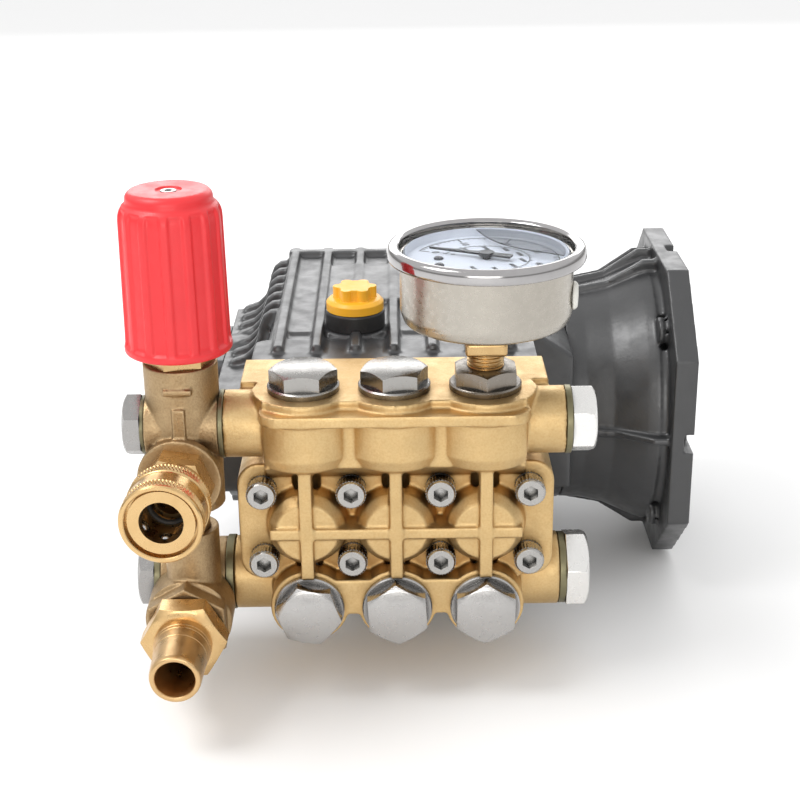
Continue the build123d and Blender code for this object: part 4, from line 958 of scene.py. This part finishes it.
def other_pieces():
    """Every remaining node: its edges are rounded, or it keeps its CAD mesh and only gets a material."""
    for node, body, slot, width, material, axis in ROUNDED:
        bevelled(node, body, slot, width, 2, material, axis)
    for node, material in AS_DRAWN:
        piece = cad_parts[node]
        piece.data.materials.clear()
        piece.data.materials.append(MATERIALS[material])


manifold()
crankcase()
bell_housing()
unloader_body()
inlet_body()
knob()
coupler_sleeve()
gauge_case()
gauge_bezel()
dial_print()
dial_numbers()
dial_screws()
dial_plate()
liquid_edge()
stem_details()
head_screw_knurls()
inlet_tail()
springs()
vent_plug()
other_pieces()


# ---------------------------------------------------------------- camera, light and floor
CAMERA_PLACE = Vector((-119.4, -633.8, 250.1)) * MM
CAMERA_PITCH = math.radians(21.88)
CAMERA_YAW = math.radians(0.15)
CAMERA_ROLL = math.radians(0.73)
CAMERA_LENS = 69.75


def camera():
    """The photo's camera, looking ahead and down at the pump's front."""
    ahead = Vector((
        math.sin(CAMERA_YAW) * math.cos(CAMERA_PITCH), math.cos(CAMERA_YAW) * math.cos(CAMERA_PITCH),
        -math.sin(CAMERA_PITCH)))
    right = Vector((math.cos(CAMERA_YAW), -math.sin(CAMERA_YAW), 0))
    up = right.cross(ahead)
    c, s = math.cos(-CAMERA_ROLL), math.sin(-CAMERA_ROLL)
    right, up = c * right + s * up, -s * right + c * up
    data = bpy.data.cameras.new("camera")
    data.lens = CAMERA_LENS
    data.clip_start = 0.01
    data.clip_end = 20.0
    eye = bpy.data.objects.new("camera", data)
    bpy.context.scene.collection.objects.link(eye)
    eye.matrix_world = Matrix.Translation(CAMERA_PLACE) @ Matrix((right, up, -ahead)).transposed().to_4x4()
    bpy.context.scene.camera = eye


def area_light(name, at, size, energy, colour=(1, 1, 1)):
    """Rectangular light aimed at the pump's middle."""
    data = bpy.data.lights.new(name, "AREA")
    data.shape = "RECTANGLE"
    data.size, data.size_y = size
    data.energy = energy
    data.color = colour
    light = bpy.data.objects.new(name, data)
    bpy.context.scene.collection.objects.link(light)
    target = Vector((-0.12, -0.08, 0.02))
    light.location = Vector(at)
    light.rotation_euler = (target - light.location).to_track_quat("-Z", "Y").to_euler()


def studio():
    """White room, darker near the horizon, with three soft lights."""
    world = bpy.data.worlds.new("studio")
    bpy.context.scene.world = world
    world.use_nodes = True
    tree = world.node_tree
    background = tree.nodes["Background"]
    place = tree.nodes.new("ShaderNodeTexCoord")
    split = tree.nodes.new("ShaderNodeSeparateXYZ")
    ramp = tree.nodes.new("ShaderNodeValToRGB")
    tree.links.new(place.outputs["Generated"], split.inputs["Vector"])
    tree.links.new(split.outputs["Z"], ramp.inputs["Fac"])
    tree.links.new(ramp.outputs["Color"], background.inputs["Color"])
    stops = ramp.color_ramp.elements
    stops[0].position, stops[0].color = 0.0, (0.50, 0.49, 0.47, 1)
    stops[1].position, stops[1].color = 1.0, (1, 1, 1, 1)
    for height, shade_of_grey in ((0.14, 0.42), (0.32, 1.0)):
        stop = stops.new(height)
        stop.color = (shade_of_grey, shade_of_grey, shade_of_grey, 1)
    background.inputs["Strength"].default_value = 1.0
    area_light("top_left", (-0.75, -0.25, 0.95), (0.5, 0.5), 5.5)
    area_light("front", (-0.2, -1.2, 0.30), (0.7, 0.4), 3.0, (1.0, 0.985, 0.96))
    area_light("back", (-0.15, 1.3, 0.55), (1.6, 0.6), 8.0)


FLOOR_Z = -66.5 * MM


def floor():
    """White table under the pump; it's staging, and not part of the object."""
    bpy.ops.mesh.primitive_plane_add(size=8.0, location=(0, 0, FLOOR_Z))
    plane = bpy.context.object
    plane.name = "floor"
    s = Shader("floor", (0.93, 0.93, 0.93), roughness=0.7)
    s.rough(s.ramp(s.noise(60.0, 3.0), 0.65, 0.75))
    plane.data.materials.append(s.material)


camera()
studio()
floor()
bpy.context.scene.view_settings.view_transform = "Standard"
